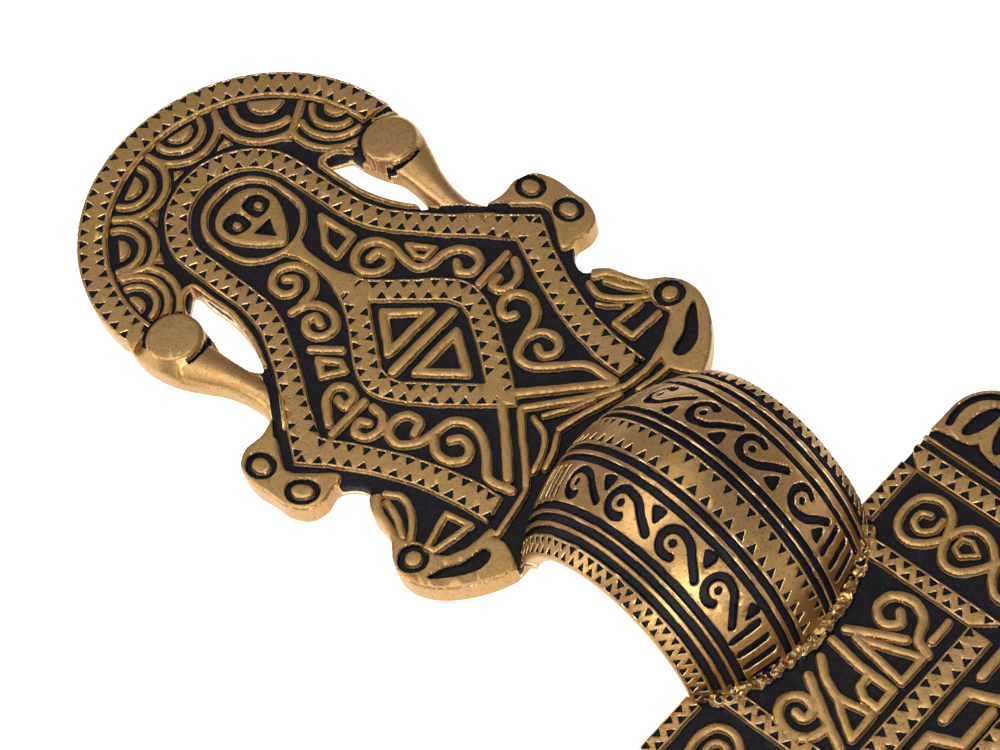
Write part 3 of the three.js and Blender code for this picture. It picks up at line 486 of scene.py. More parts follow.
class Casting:
    """Turns carved sheets into closed solids, and keeps how dark each point is."""

    def __init__(self, placement: Placement) -> None:
        """Keeps the placement that carries solids into the frame."""
        self.placement = placement

    def solid(self, name: str, sheet: Sheet, back: float, form: Form, budget: int,
              spacing: float) -> bpy.types.Object:
        """Makes a closed solid from a sheet.

        Args:
            name: The object's name.
            sheet: The carved sheet.
            back: Level of the back in the sheet's own heights.
            form: The surface that the sheet is laid on.
            budget: How many triangles the carved face may have.
            spacing: Spacing of the points on the back, or 0 for a flat one.

        Returns:
            The object, in metres in the frame, with its "patina" attribute.
        """
        places, faces = sheet.points()
        piece = new_object(name, form.bend(places), faces)
        apply_modifier(piece, "DECIMATE", ratio=min(budget / len(faces), 1.0))
        top = form.unbend(vertex_places(piece))
        index = np.empty(len(piece.data.loops), np.int32)
        piece.data.loops.foreach_get("vertex_index", index)
        faces = index.reshape(-1, 3)
        bpy.data.objects.remove(piece)
        used, faces = np.unique(faces, return_inverse=True)
        top, faces = top[used], faces.reshape(-1, 3)
        rim = boundary_edges(faces)
        ring = np.unique(rim)
        below = top[ring].copy()
        below[:, 2] = back
        lower = len(top)
        low_rim = np.searchsorted(ring, rim)
        wall = []
        for (a, b), (d, c) in zip(rim, low_rim + lower):
            wall.extend([(a, d, c), (a, c, b)])
        extra, floor = self.back_faces(sheet, below[:, :2], low_rim.tolist(), spacing)
        inner = np.column_stack([extra, np.full(len(extra), back)])
        places = np.vstack([top, below, inner])
        faces = np.vstack([faces, np.array(wall), floor + lower])
        made = new_object(name, self.placement.metres(form.bend(places)), faces)
        set_patina(made, np.concatenate([sheet.sample(sheet.dark, top[:, 0], top[:, 1]),
                                         np.full(len(below), SIDE_DARK), np.full(len(inner), BACK_DARK)]))
        LOG.info("%s: %d triangles", name, len(faces))
        return made

    @staticmethod
    def back_faces(sheet: Sheet, ring: Array, rim: list[list[int]], spacing: float) -> tuple[Array, Array]:
        """Fills the back of a sheet inside its rim.

        Args:
            sheet: The sheet, which tells what is inside.
            ring: The rim's points.
            rim: The rim's edges as pairs of point numbers.
            spacing: Spacing of the points added inside, or 0 for none.

        Returns:
            The added points and the triangles, facing down.
        """
        extra = np.zeros((0, 2))
        if spacing > 0:
            xs = np.arange(ring[:, 0].min(), ring[:, 0].max(), spacing)
            ys = np.arange(ring[:, 1].min(), ring[:, 1].max(), spacing)
            gx, gy = (v.ravel() for v in np.meshgrid(xs, ys))
            deep = sheet.sample(sheet.inside, gx, gy) > spacing * 0.5
            extra = np.stack([gx[deep], gy[deep]], axis=1)
        flat = np.vstack([ring, extra])
        made, _, triangles, origin, *_ = delaunay_2d_cdt([Vector(p) for p in flat], rim, [], 0, 1e-6)
        if len(made) != len(flat):
            LOG.warning("the back gained %d points", len(made) - len(flat))
        number = np.array([o[0] if o else -1 for o in origin])
        triangles = number[np.array(triangles)]
        triangles = triangles[(triangles >= 0).all(axis=1)]
        middle = flat[triangles].mean(axis=1)
        triangles = triangles[within(middle[:, 0], middle[:, 1], ((flat[a], flat[b]) for a, b in rim))]
        a, b, c = (flat[triangles[:, k]] for k in (0, 1, 2))
        turn = (b[:, 0] - a[:, 0]) * (c[:, 1] - a[:, 1]) - (b[:, 1] - a[:, 1]) * (c[:, 0] - a[:, 0])
        triangles[turn > 0] = triangles[turn > 0][:, ::-1]
        return extra, triangles


# ---- Foot plate -----------------------------------------------------------------------------------------

SCALLOPS: tuple[Scallop, ...] = (
    (-19.6, -30.0, (1.6, 3.2, 4.9, 6.7)), (-14.9, -38.5, (2.5, 4.6, 6.8)), (-4.3, -44.4, (1.9, 3.2, 5.2)),
    (6.0, -43.4, (1.8, 3.2, 5.1)), (13.9, -37.3, (1.7, 3.3, 5.0)), (18.6, -29.4, (1.5, 3.0, 4.5, 6.0)),
)
SPANDRELS: tuple[Points, ...] = (
    ((-12.2, -30.8), (-10.8, -32.6), (-12.9, -32.4)), ((-7.4, -36.9), (-5.0, -38.0), (-7.2, -38.5)),
    ((-0.4, -39.2), (1.7, -39.3), (0.7, -40.4)), ((8.3, -35.6), (7.9, -37.8), (6.0, -37.6)),
    ((11.6, -30.8), (12.3, -32.3), (10.3, -32.8)),
)
NODULE_PIPS: dict[Side, tuple[tuple[float, ...], ...]] = {
    Side.RIGHT: ((25.4, 0.5, 1.05, 1.35, 0.0), (24.9, 7.2, 1.05, 1.5, 25.0)),
    Side.LEFT: ((-25.1, -0.4, 1.05, 1.35, 0.0), (-25.3, 5.9, 1.05, 1.4, 0.0)),
}
FIELD_STROKES: tuple[Stroke, ...] = (
    Stroke(1.25, ((-9.7, 27.4), (-9.4, 23.0), (-7.2, 20.4), (-5.5, 18.2), (-5.0, 16.6), (-5.6, 15.0),
        (-8.4, 14.1), (-11.2, 13.1), (-12.6, 11.2), (-12.2, 9.2), (-10.7, 8.3), (-9.2, 8.9),
        (-8.7, 10.2), (-9.6, 11.0))),
    Stroke(1.2, ((-8.0, 14.3), (-9.7, 15.4), (-10.2, 17.0), (-9.6, 18.5), (-8.2, 18.8), (-7.2, 17.8),
        (-7.7, 16.5))),
    Stroke(1.2, ((-15.6, 5.5), (-14.4, 7.2), (-12.8, 7.7), (-11.2, 7.0), (-11.1, 5.7), (-12.5, 5.5))),
    Stroke(1.15, ((-15.8, 4.0), (-10.3, 4.2))),
    Stroke(1.2, ((-11.0, -0.3), (-10.2, 0.9), (-10.9, 2.2), (-12.6, 2.2), (-13.5, 0.7), (-12.9, -1.2),
        (-11.2, -2.4), (-8.7, -2.8), (-7.4, -4.0), (-7.5, -6.4), (-7.9, -9.0), (-7.2, -11.0),
        (-5.6, -12.0), (-3.8, -11.5), (-2.8, -9.6), (-3.7, -7.7), (-5.3, -7.0), (-6.5, -8.0),
        (-6.2, -9.6), (-4.9, -9.8))),
    Stroke(0.85, ((-11.0, -4.0), (-9.1, -4.1), (-8.6, -5.2), (-9.2, -7.2)), closed=True),
    Stroke(1.05, ((-6.0, -13.9), (-2.6, -13.4), (-3.0, -15.8), (-5.8, -19.4)), closed=True),
    Stroke(1.25, ((9.3, 27.5), (9.7, 24.2), (7.5, 21.8), (5.8, 19.4), (5.4, 17.2), (6.6, 15.1),
        (9.0, 14.5), (11.4, 13.7), (12.9, 11.8), (12.4, 9.9), (10.6, 9.3), (9.1, 10.2), (9.0, 12.0),
        (10.6, 12.6))),
    Stroke(1.2, ((9.5, 14.8), (10.9, 16.6), (10.8, 18.8), (9.4, 20.1), (7.9, 19.4), (7.6, 17.8),
        (8.6, 16.8))),
    Stroke(1.2, ((10.9, 5.8), (11.2, 7.7), (12.9, 8.8), (14.7, 8.0), (14.8, 6.4), (13.4, 5.9),
        (12.9, 7.0))),
    Stroke(1.15, ((11.0, 4.4), (16.8, 4.4))),
    Stroke(1.2, ((15.9, 3.1), (14.8, 1.6), (13.4, 0.2), (11.7, 0.0), (10.7, 1.4), (11.3, 2.9),
        (12.9, 2.9), (12.7, 1.5))),
    Stroke(1.0, ((9.2, -0.6), (11.5, -2.5), (10.0, -4.6), (8.6, -1.9)), closed=True),
    Stroke(1.1, ((7.2, -3.1), (9.5, -6.4))),
    Stroke(1.2, ((7.0, -12.2), (5.2, -11.5), (4.0, -9.8), (4.0, -7.6), (5.4, -6.1), (7.2, -6.4),
        (8.0, -8.2), (6.9, -9.8), (5.6, -9.3), (6.0, -7.9))),
    Stroke(1.2, ((5.2, -12.0), (2.9, -12.3), (1.3, -14.3), (1.7, -16.8), (3.8, -18.1), (5.7, -16.9),
        (5.7, -14.9), (4.2, -14.1), (3.1, -15.3), (3.9, -16.4))),
    Stroke(1.3, ((-0.7, 18.2), (-3.0, 20.7), (-6.0, 23.9), (-9.3, 27.4))),
    Stroke(1.05, ((-0.2, 20.9), (-2.9, 23.5), (-5.8, 26.1), (-9.9, 28.9))),
    Stroke(0.8, ((-0.9, 23.7), (-3.2, 25.5), (-6.3, 27.1))),
    Stroke(1.0, ((-0.6, 26.5), (-3.4, 27.3), (-6.4, 28.4), (-8.6, 29.2))),
    Stroke(0.95, ((-15.8, 29.3), (-13.0, 29.5), (-10.4, 29.0))),
    Stroke(0.9, ((-15.8, 31.4), (-12.8, 31.1), (-10.6, 30.5))),
    Stroke(1.3, ((0.7, 18.2), (2.8, 20.4), (5.4, 23.2), (8.3, 26.1))),
    Stroke(1.05, ((0.2, 20.9), (2.6, 23.2), (5.3, 26.2), (7.8, 28.6))),
    Stroke(0.85, ((0.1, 22.9), (0.9, 25.3), (3.2, 27.1), (5.8, 28.0))),
    Stroke(0.9, ((0.2, 26.8), (2.2, 28.1), (4.6, 28.8))),
    Stroke(0.9, ((8.3, 29.0), (11.2, 29.7), (14.8, 30.3))),
)
LOZENGE_STROKES: tuple[Stroke, ...] = (
    Stroke(1.3, ((-3.4, 6.7), (4.0, 6.7), (0.3, 12.0)), closed=True),
    Stroke(1.4, ((-5.2, 4.3), (5.7, 4.3))),
    Stroke(1.25, ((-3.6, 2.1), (4.0, 2.0), (0.1, -2.7)), closed=True),
)
WING_STROKES: dict[Side, tuple[Stroke, ...]] = {
    Side.RIGHT: (
        Stroke(0.95, ((15.8, 26.9), (16.5, 23.4), (21.2, 24.7), (21.0, 25.8)), closed=True),
        Stroke(1.0, ((21.6, 22.4), (19.2, 20.3), (18.0, 17.6), (18.9, 15.6))),
        Stroke(1.0, ((22.0, 21.4), (20.6, 19.3), (19.7, 16.6))),
        Stroke(1.25, ((15.1, 29.6), (18.5, 29.2), (22.4, 27.2)))),
    Side.LEFT: (
        Stroke(0.95, ((-20.4, 25.2), (-15.9, 24.9), (-16.0, 21.9), (-20.1, 22.5)), sharp=True),
        Stroke(1.0, ((-21.4, 22.6), (-19.2, 20.2), (-18.0, 17.6), (-18.5, 15.4))),
        Stroke(1.0, ((-22.0, 21.4), (-20.8, 19.3), (-20.1, 16.8))),
        Stroke(0.6, ((-18.5, 20.9), (-17.4, 19.6), (-16.8, 18.2))),
        Stroke(1.3, ((-15.3, 29.3), (-18.0, 28.7), (-21.6, 26.9)))),
}


@dataclass
class FootPlate:
    """The long foot: crescent, framed field, nodules, wings and two bosses on stems."""

    triangles: int = 74_400
    thickness: float = 3.0
    relief: float = 0.8
    foot_end: float = -49.3
    crescent_x: float = -0.4
    crescent_y: float = -26.0
    crescent_outer: float = 23.5
    crescent_inner: float = 19.5
    groove_radius: float = 18.9
    boss_right: tuple[float, float] = (19.1, -21.0)
    boss_left: tuple[float, float] = (19.4, -19.7)
    boss_radius: float = 3.75
    boss_rise: float = 1.2
    boss_edge: float = 0.7
    eye: tuple[float, float] = (23.4, 24.5)
    punch_pitch: float = 2.05
    punch_inset: float = 0.42
    frame_low: Points = ((10.4, -24), (10.6, -18), (11.1, -15), (12.3, -12), (14.3, -8.5), (17.2, -4.2))
    frame_tip: tuple[float, float] = (22.8, 3.6)
    frame_high: Points = ((20.7, 6.9), (18.8, 10.5), (17.2, 14.2), (15.7, 18.8), (14.7, 24), (14.4, 28.2))
    frame_inner_high: Points = (
        (10.6, 27.4), (10.8, 24), (11.6, 19.8), (13.0, 14.8), (14.8, 10.3), (16.6, 6.3))
    frame_inner_tip: tuple[float, float] = (18.0, 3.6)
    frame_inner_low: Points = (
        (15.5, -0.6), (12.8, -4.6), (10.3, -8.8), (8.5, -12.2), (7.6, -15.2), (7.3, -18), (7.2, -24))
    rim_low: Points = (
        (15.6, -23.3), (14.5, -24.8), (12.9, -25.7), (11.8, -25.3), (11.65, -21.8), (11.7, -18.2),
        (12.5, -14.5), (13.6, -11.6), (14.9, -9.4), (15.6, -8.2))
    connector: Points = (
        (1.5, -19.3), (0.7, -17.2), (0.5, -14.4), (0.8, -11.8), (2.0, -8.6), (-2.2, -8.6), (-1.1, -11.8),
        (-0.9, -14.4), (-1.1, -17.2), (-1.9, -19.3))
    lozenge_outer: Points = (
        (0.0, -11.6), (0.9, -10.5), (3.1, -6.6), (6.0, -2.9), (8.6, 0.4), (9.7, 3.2), (9.5, 5.8), (7.9, 9.2),
        (4.9, 13.9), (1.2, 18.8), (0.0, 20.2))
    lozenge_inner: Points = (
        (0.0, -5.2), (3.2, -1.0), (6.0, 2.7), (6.5, 4.4), (6.0, 6.2), (3.2, 10.4), (0.0, 14.8))
    stem: Points = ((19.5, -17.4), (18.7, -13.6), (18.0, -9.6), (17.7, -5.8), (18.6, -2.2))
    stem_half: tuple[float, ...] = (2.9, 2.3, 1.75, 1.6, 1.9)
    stem_groove: Points = ((15.1, -9.3), (15.5, -8.4), (16.7, -6.2), (19.2, -2.9), (20.9, -1.0))
    stem_top: tuple[float, ...] = (0.4, 0.3, 0.1, -0.1, -0.3)

    def bend(self, places: Array) -> Array:
        """Leaves sheet points where they are: the foot's ridge tops are the drawing's zero."""
        return places

    def unbend(self, places: Array) -> Array:
        """Leaves drawing points where they are."""
        return places

    def outline(self) -> Array:
        """Returns the plate's outline, anticlockwise from the crescent's end."""
        half = np.vstack([
            arc(0, self.crescent_y, self.crescent_outer, -90, -4, 40),
            curve(((23.3, -26.4), (23.7, -24.4), (23.6, -20.6), (22.9, -17.4), (21.5, -14.2), (20.1, -11.2),
                   (19.4, -8.0), (19.4, -5.2), (20.3, -3.2), (22.2, -2.7), (24.8, -2.9), (27.0, -1.5),
                   (27.9, 1.6),
                   (27.7, 4.6), (27.6, 7.2), (26.3, 9.6), (24.2, 10.3), (21.9, 9.9), (20.3, 11.2),
                   (19.6, 13.2), (20.6, 14.4), (21.8, 16.0), (22.4, 18.4), (23.2, 20.6), (24.9, 22.4),
                   (25.9, 24.5), (25.9, 26.9), (24.6, 29.8), (22.0, 32.5), (19.2, 34.4), (17.2, 35.3))),
        ])
        whole = np.vstack([half, mirrored(half[1:])])
        whole[:, 0] += self.crescent_x * np.clip((-22.0 - whole[:, 1]) / 4.0, 0, 1)
        return whole

    def stem_gap(self) -> Array:
        """Returns the gap between a boss's stem and the plate, on the right."""
        return curve(((12.1, -25.3), (12.1, -22.0), (12.1, -18.2), (12.9, -14.4), (14.0, -11.5),
                      (15.2, -9.6), (15.9, -10.6), (16.4, -12.8), (16.5, -15.6), (15.7, -18.3),
                      (15.2, -21.2), (15.1, -23.2), (13.8, -24.3)), closed=True)

    def frame_edges(self) -> tuple[Array, Array]:
        """Returns the frame's outer and inner edge on the right, from the arch's foot up to the bow."""
        outer = np.vstack([arc(0, -27.9, 10.4, -90, 0, 20), curve(self.frame_low[1:]), [self.frame_tip],
                           curve(self.frame_high)])
        inner = np.vstack([arc(0, -27.6, 7.2, -90, 0, 20), curve(self.frame_inner_low[::-1][1:]),
                           [self.frame_inner_tip], curve(self.frame_inner_high[::-1])])
        return outer, inner

    def carve(self) -> Sheet:
        """Carves the whole foot and returns its sheet."""
        gap = self.stem_gap()
        sheet = Sheet(self.outline(), [gap, mirrored(gap)], self.relief, 0.06, 11)
        self.carve_crescent(sheet)
        self.carve_frame(sheet)
        self.carve_lozenge(sheet)
        self.carve_roundel(sheet)
        sheet.raise_strokes(FIELD_STROKES + LOZENGE_STROKES)
        for side in Side:
            self.carve_nodules(sheet, side)
            self.carve_wing(sheet, side)
            self.carve_boss(sheet, side)
        sheet.round_edge(0.4, sheet.inside)
        return sheet

    def carve_crescent(self, sheet: Sheet) -> None:
        """Carves the punched border and the half rings that stand on its groove."""
        cx, y, outer, inner = self.crescent_x, self.crescent_y, self.crescent_outer, self.crescent_inner
        band = np.vstack([arc(cx, y, outer + 1, 176, 364, 80), arc(cx, y, inner, 362, 178, 70)])
        sheet.raise_shape(band)
        middle, far = np.array([[cx, y]]), arc(cx, y, outer + 4, 178, 362, 90)
        for radius, toward, pitch, base, phase in (
                (outer - 0.45, middle, self.punch_pitch, 1.28, 0.3),
                (inner + 0.62, far, self.punch_pitch * 0.86, 1.18, 0.6)):
            sheet.punch_row(arc(cx, y, radius, 177, 361, 130), toward, pitch, base, 1.05, phase)
        for k, (x, cy, radii) in enumerate(SCALLOPS):
            inward = math.degrees(math.atan2(y - cy, cx - x))
            sheet.raise_shape(arc(x, cy, radii[0], inward - 84, inward + 84, 16), reach=0.5)
            others = SCALLOPS[:k] + SCALLOPS[k + 1:]
            for radius in radii[1:]:
                self.carve_arch(sheet, arc(x, cy, radius, inward - 100, inward + 100, 60), others)
        for one, two in zip(SCALLOPS[:-1], SCALLOPS[1:]):
            self.carve_valley(sheet, one, two)
        shrink = 0.85
        for spandrel in SPANDRELS:
            corners = np.array(spandrel)
            middle = corners.mean(axis=0)
            sheet.raise_shape(middle + (corners - middle) * shrink, reach=0.3)

    def carve_arch(self, sheet: Sheet, line: Array, others: tuple[Scallop, ...]) -> None:
        """Carves the part of a half ring that lies inside the groove and outside the other arches."""
        away = np.hypot(line[:, 0] - self.crescent_x, line[:, 1] - self.crescent_y)
        kept = away < self.groove_radius - 0.15
        for x, y, radii in others:
            kept &= np.hypot(line[:, 0] - x, line[:, 1] - y) > radii[-1] - 0.35
        if kept.sum() > 2:
            sheet.raise_line(line[kept], 1.0)

    def carve_valley(self, sheet: Sheet, one: Scallop, two: Scallop) -> None:
        """Carves the ridge that runs from where two arches meet down to the groove."""
        (ax, ay, a_radii), (bx, by, b_radii) = one, two
        apart = math.hypot(bx - ax, by - ay)
        along = (apart ** 2 + a_radii[-1] ** 2 - b_radii[-1] ** 2) / (2 * apart)
        rise = math.sqrt(max(a_radii[-1] ** 2 - along ** 2, 0.04))
        ux, uy = (bx - ax) / apart, (by - ay) / apart
        meet = (ax + ux * along - uy * rise, ay + uy * along + ux * rise)
        out = np.array([ax + ux * along - self.crescent_x, ay + uy * along - self.crescent_y])
        out *= (self.groove_radius - 0.2) / np.linalg.norm(out)
        end = (out[0] + self.crescent_x, out[1] + self.crescent_y)
        sheet.raise_line(np.array([meet, end]), 1.1)

    def carve_frame(self, sheet: Sheet) -> None:
        """Carves the frame band with its two punched rows, and the rim outside it."""
        outer, inner = self.frame_edges()
        sheet.raise_shape(np.vstack([mirrored(outer)[:-1], outer, inner[::-1], mirrored(inner)[::-1][1:]]))
        for side in Side:
            flip = [side.value, 1]
            self.punch_edge(sheet, outer * flip, inner * flip, 0.35)
            self.punch_edge(sheet, inner * flip, outer * flip, 0.75)
            sheet.raise_line(curve(self.rim_low) * flip, 0.75)

    def punch_edge(self, sheet: Sheet, edge: Array, other: Array, phase: float) -> None:
        """Punches one row of triangles along a band's edge, set in by its gold rim."""
        moved = []
        for point in edge:
            toward = other[np.argmin(np.linalg.norm(other - point, axis=1))] - point
            moved.append(point + toward / max(np.linalg.norm(toward), 1e-6) * self.punch_inset)
        sheet.punch_row(np.array(moved), other, 1.95, 1.22, 1.0, phase)

    def carve_lozenge(self, sheet: Sheet) -> None:
        """Carves the lozenge frame and the punched rows along its edges."""
        right = curve(self.lozenge_outer)
        outer = np.vstack([right, mirrored(right)])
        half = np.asarray(self.lozenge_inner)
        inner = np.vstack([half, mirrored(half)[1:-1]])
        sheet.raise_shape(outer, [inner])
        for side in Side:
            flip = [side.value, 1]
            self.punch_edge(sheet, right[2:-3] * flip, half * flip, 0.4)
            self.punch_edge(sheet, half * flip, right * flip, 0.8)

    def carve_roundel(self, sheet: Sheet) -> None:
        """Carves the ringed mask: a pear-shaped face with two round eyes and a three-cornered mouth."""
        face = curve(((-0.1, -20.2), (1.6, -21.6), (3.0, -23.6), (4.1, -26.0), (4.2, -28.2), (3.2, -30.0),
                      (1.4, -30.9), (-0.2, -31.1), (-1.8, -30.9), (-3.5, -30.0), (-4.5, -28.2),
                      (-4.4, -26.0), (-3.2, -23.6), (-1.8, -21.6)), closed=True)
        ring = curve(((-0.2, -19.3), (2.9, -20.3), (5.0, -22.6), (5.5, -26.0), (5.3, -28.8), (4.2, -31.0),
                      (2.2, -32.4), (-0.2, -32.8), (-2.6, -32.4), (-4.6, -31.0), (-5.7, -28.8),
                      (-5.9, -26.0), (-5.4, -22.6), (-3.3, -20.3)), closed=True)
        sheet.raise_shape(np.array(self.connector), reach=0.5)
        sheet.raise_shape(face, reach=0.9)
        sheet.raise_line(np.vstack([ring, ring[:1]]), 0.95)
        sheet.sink_shape(np.array([(-1.6, -24.6), (1.35, -24.6), (-0.1, -21.9)]), 0.72)
        for side in (1, -1):
            x = -0.15 + 1.95 * side
            eye = curve(((x - 1.35 * side, -25.9), (x, -25.7), (x + 1.2 * side, -26.3),
                         (x + 1.5 * side, -27.4), (x + 1.1 * side, -28.7), (x, -29.2),
                         (x - 1.25 * side, -28.9)), closed=True)
            sheet.sink_shape(eye, 0.72)
            sheet.raise_shape(oval(x, -27.2, 0.6, 0.75), reach=0.4)

    def carve_nodules(self, sheet: Sheet, side: Side) -> None:
        """Carves one pair of nodules: a raised border with two oval pips in dark rings."""
        plate = curve(((19.8, -3.1), (22.2, -2.6), (24.8, -2.8), (27.2, -1.6), (28.2, 1.6), (27.9, 4.6),
                       (27.9, 7.2), (26.5, 9.8), (24.2, 10.5), (21.9, 10.1), (20.3, 9.2), (22.2, 6.4),
                       (23.9, 3.4), (22.3, 0.6)), closed=True)
        sheet.raise_shape(plate * [side.value, 1], reach=0.6)
        for x, y, rx, ry, turn in NODULE_PIPS[side]:
            sheet.sink_shape(oval(x, y, rx + 0.72, ry + 0.78, turn), 0.7)
            sheet.raise_shape(oval(x, y, rx, ry, turn), reach=0.6)

    def carve_wing(self, sheet: Sheet, side: Side) -> None:
        """Carves one bird-like wing: its eye, two dark leaves and the crest strokes."""
        s = side.value
        wing = curve(((15.0, 31.2), (17.3, 35.6), (19.4, 34.8), (22.2, 32.8), (24.8, 30.0), (26.2, 26.9),
                      (26.2, 24.5), (25.0, 22.2), (23.4, 20.5), (22.6, 18.3), (22.0, 15.9), (20.5, 14.2),
                      (19.2, 15.2), (20.6, 16.6), (21.4, 19.0), (22.2, 21.6), (21.2, 23.6), (21.3, 26.2),
                      (19.4, 28.4), (16.6, 29.0)), closed=True)
        leaf = curve(((24.2, 27.6), (22.0, 30.2), (19.4, 31.9), (17.4, 31.6), (17.2, 30.4), (20.0, 29.6),
                      (22.2, 28.2)), closed=True)
        sheet.raise_shape(wing * [s, 1], reach=0.6)
        sheet.sink_shape(leaf * [s, 1], 0.75)
        x, y = self.eye[0] * s, self.eye[1]
        sheet.sink_shape(oval(x, y, 1.95, 1.95), 0.7)
        sheet.raise_shape(oval(x, y, 1.1, 1.1), reach=0.6)
        sheet.raise_strokes(WING_STROKES[side])

    def carve_boss(self, sheet: Sheet, side: Side) -> None:
        """Shapes one flat boss on its tapering round stem."""
        s = side.value
        x, y = self.boss_right if side is Side.RIGHT else self.boss_left
        win = sheet.window(np.sort(np.array([(14.0, -26.0), (25.0, -2.0)]) * [s, 1], axis=0), 1)
        across, along = sheet.x[win] * s, sheet.y[win]
        self.shape_stem(across, along, sheet.height[win], sheet.dark[win], y)
        self.shape_disc(across - x, along - y, sheet.height[win], sheet.dark[win])
        sheet.sink_line(curve(self.stem_groove) * [s, 1], 1.1, 0.6)

    def shape_stem(self, x: Array, y: Array, height: Array, dark: Array, boss_y: float) -> None:
        """Shapes a round stem that narrows toward the plate.

        Args:
            x: Places across the plate, counted to the stem's own side.
            y: Places along it.
            height: Heights there, which are changed.
            dark: Darkness there, which is changed.
            boss_y: Where the boss at the stem's end stands.
        """
        path = curve(self.stem)
        path[:, 1] += (boss_y - self.boss_right[1]) * np.clip((-9.0 - path[:, 1]) / 8.0, 0, 1)
        count = len(self.stem)
        station = np.linspace(0, count - 1, len(path))
        half = np.interp(station, range(count), self.stem_half)
        top = np.interp(station, range(count), self.stem_top)
        beside = (y > boss_y - 1.5) & (y < -3.4) & (x > np.interp(y, (-9.6, -4.0), (14.4, 18.6)))
        height[beside] = np.minimum(height[beside], -1.2)
        dark[beside] = 0.0
        for (px, py), h, t in zip(path, half, top):
            away = np.hypot(x - px, y - py)
            level = t - self.thickness * 0.5 * (1 - np.sqrt(np.clip(1 - (away / h) ** 2, 0, 1)))
            inside = away < h
            height[inside] = np.maximum(height[inside], level[inside])
            dark[inside] = 0.0

    def shape_disc(self, x: Array, y: Array, height: Array, dark: Array) -> None:
        """Shapes a flat disc with a soft edge, a steep side and a dark collar across its stem.

        Args:
            x: Places across the plate, counted from the disc's middle to its own side.
            y: Places along it, counted from the disc's middle.
            height: Heights there, which are changed.
            dark: Darkness there, which is changed.
        """
        radius, rise, edge = self.boss_radius, self.boss_rise, self.boss_edge
        away = np.hypot(x, y)
        side = (away > radius) & (away < radius + 1.8) & (x > away * 0.3)
        height[side] = np.maximum(height[side], rise - edge - (away[side] - radius))
        dark[side] = 0.0
        lean = np.abs(y) / np.maximum(away, 1e-6)
        breadth = np.where(y > 0, 0.5, 0.75)
        reach = np.where(y > 0, 1.4, 3.2)
        collar = (away > radius) & (away < radius + breadth) & (lean > 0.55) & (x < reach)
        height[collar] = np.minimum(height[collar], -0.35)
        dark[collar] = 1.0
        lack = np.clip(away - (radius - edge), 0, edge)
        level = rise - (edge - np.sqrt(edge ** 2 - lack ** 2)) - 0.05 * (away / radius) ** 2
        inside = away <= radius
        height[inside] = level[inside]
        dark[inside] = 0.0


# ---- Bow ------------------------------------------------------------------------------------------------


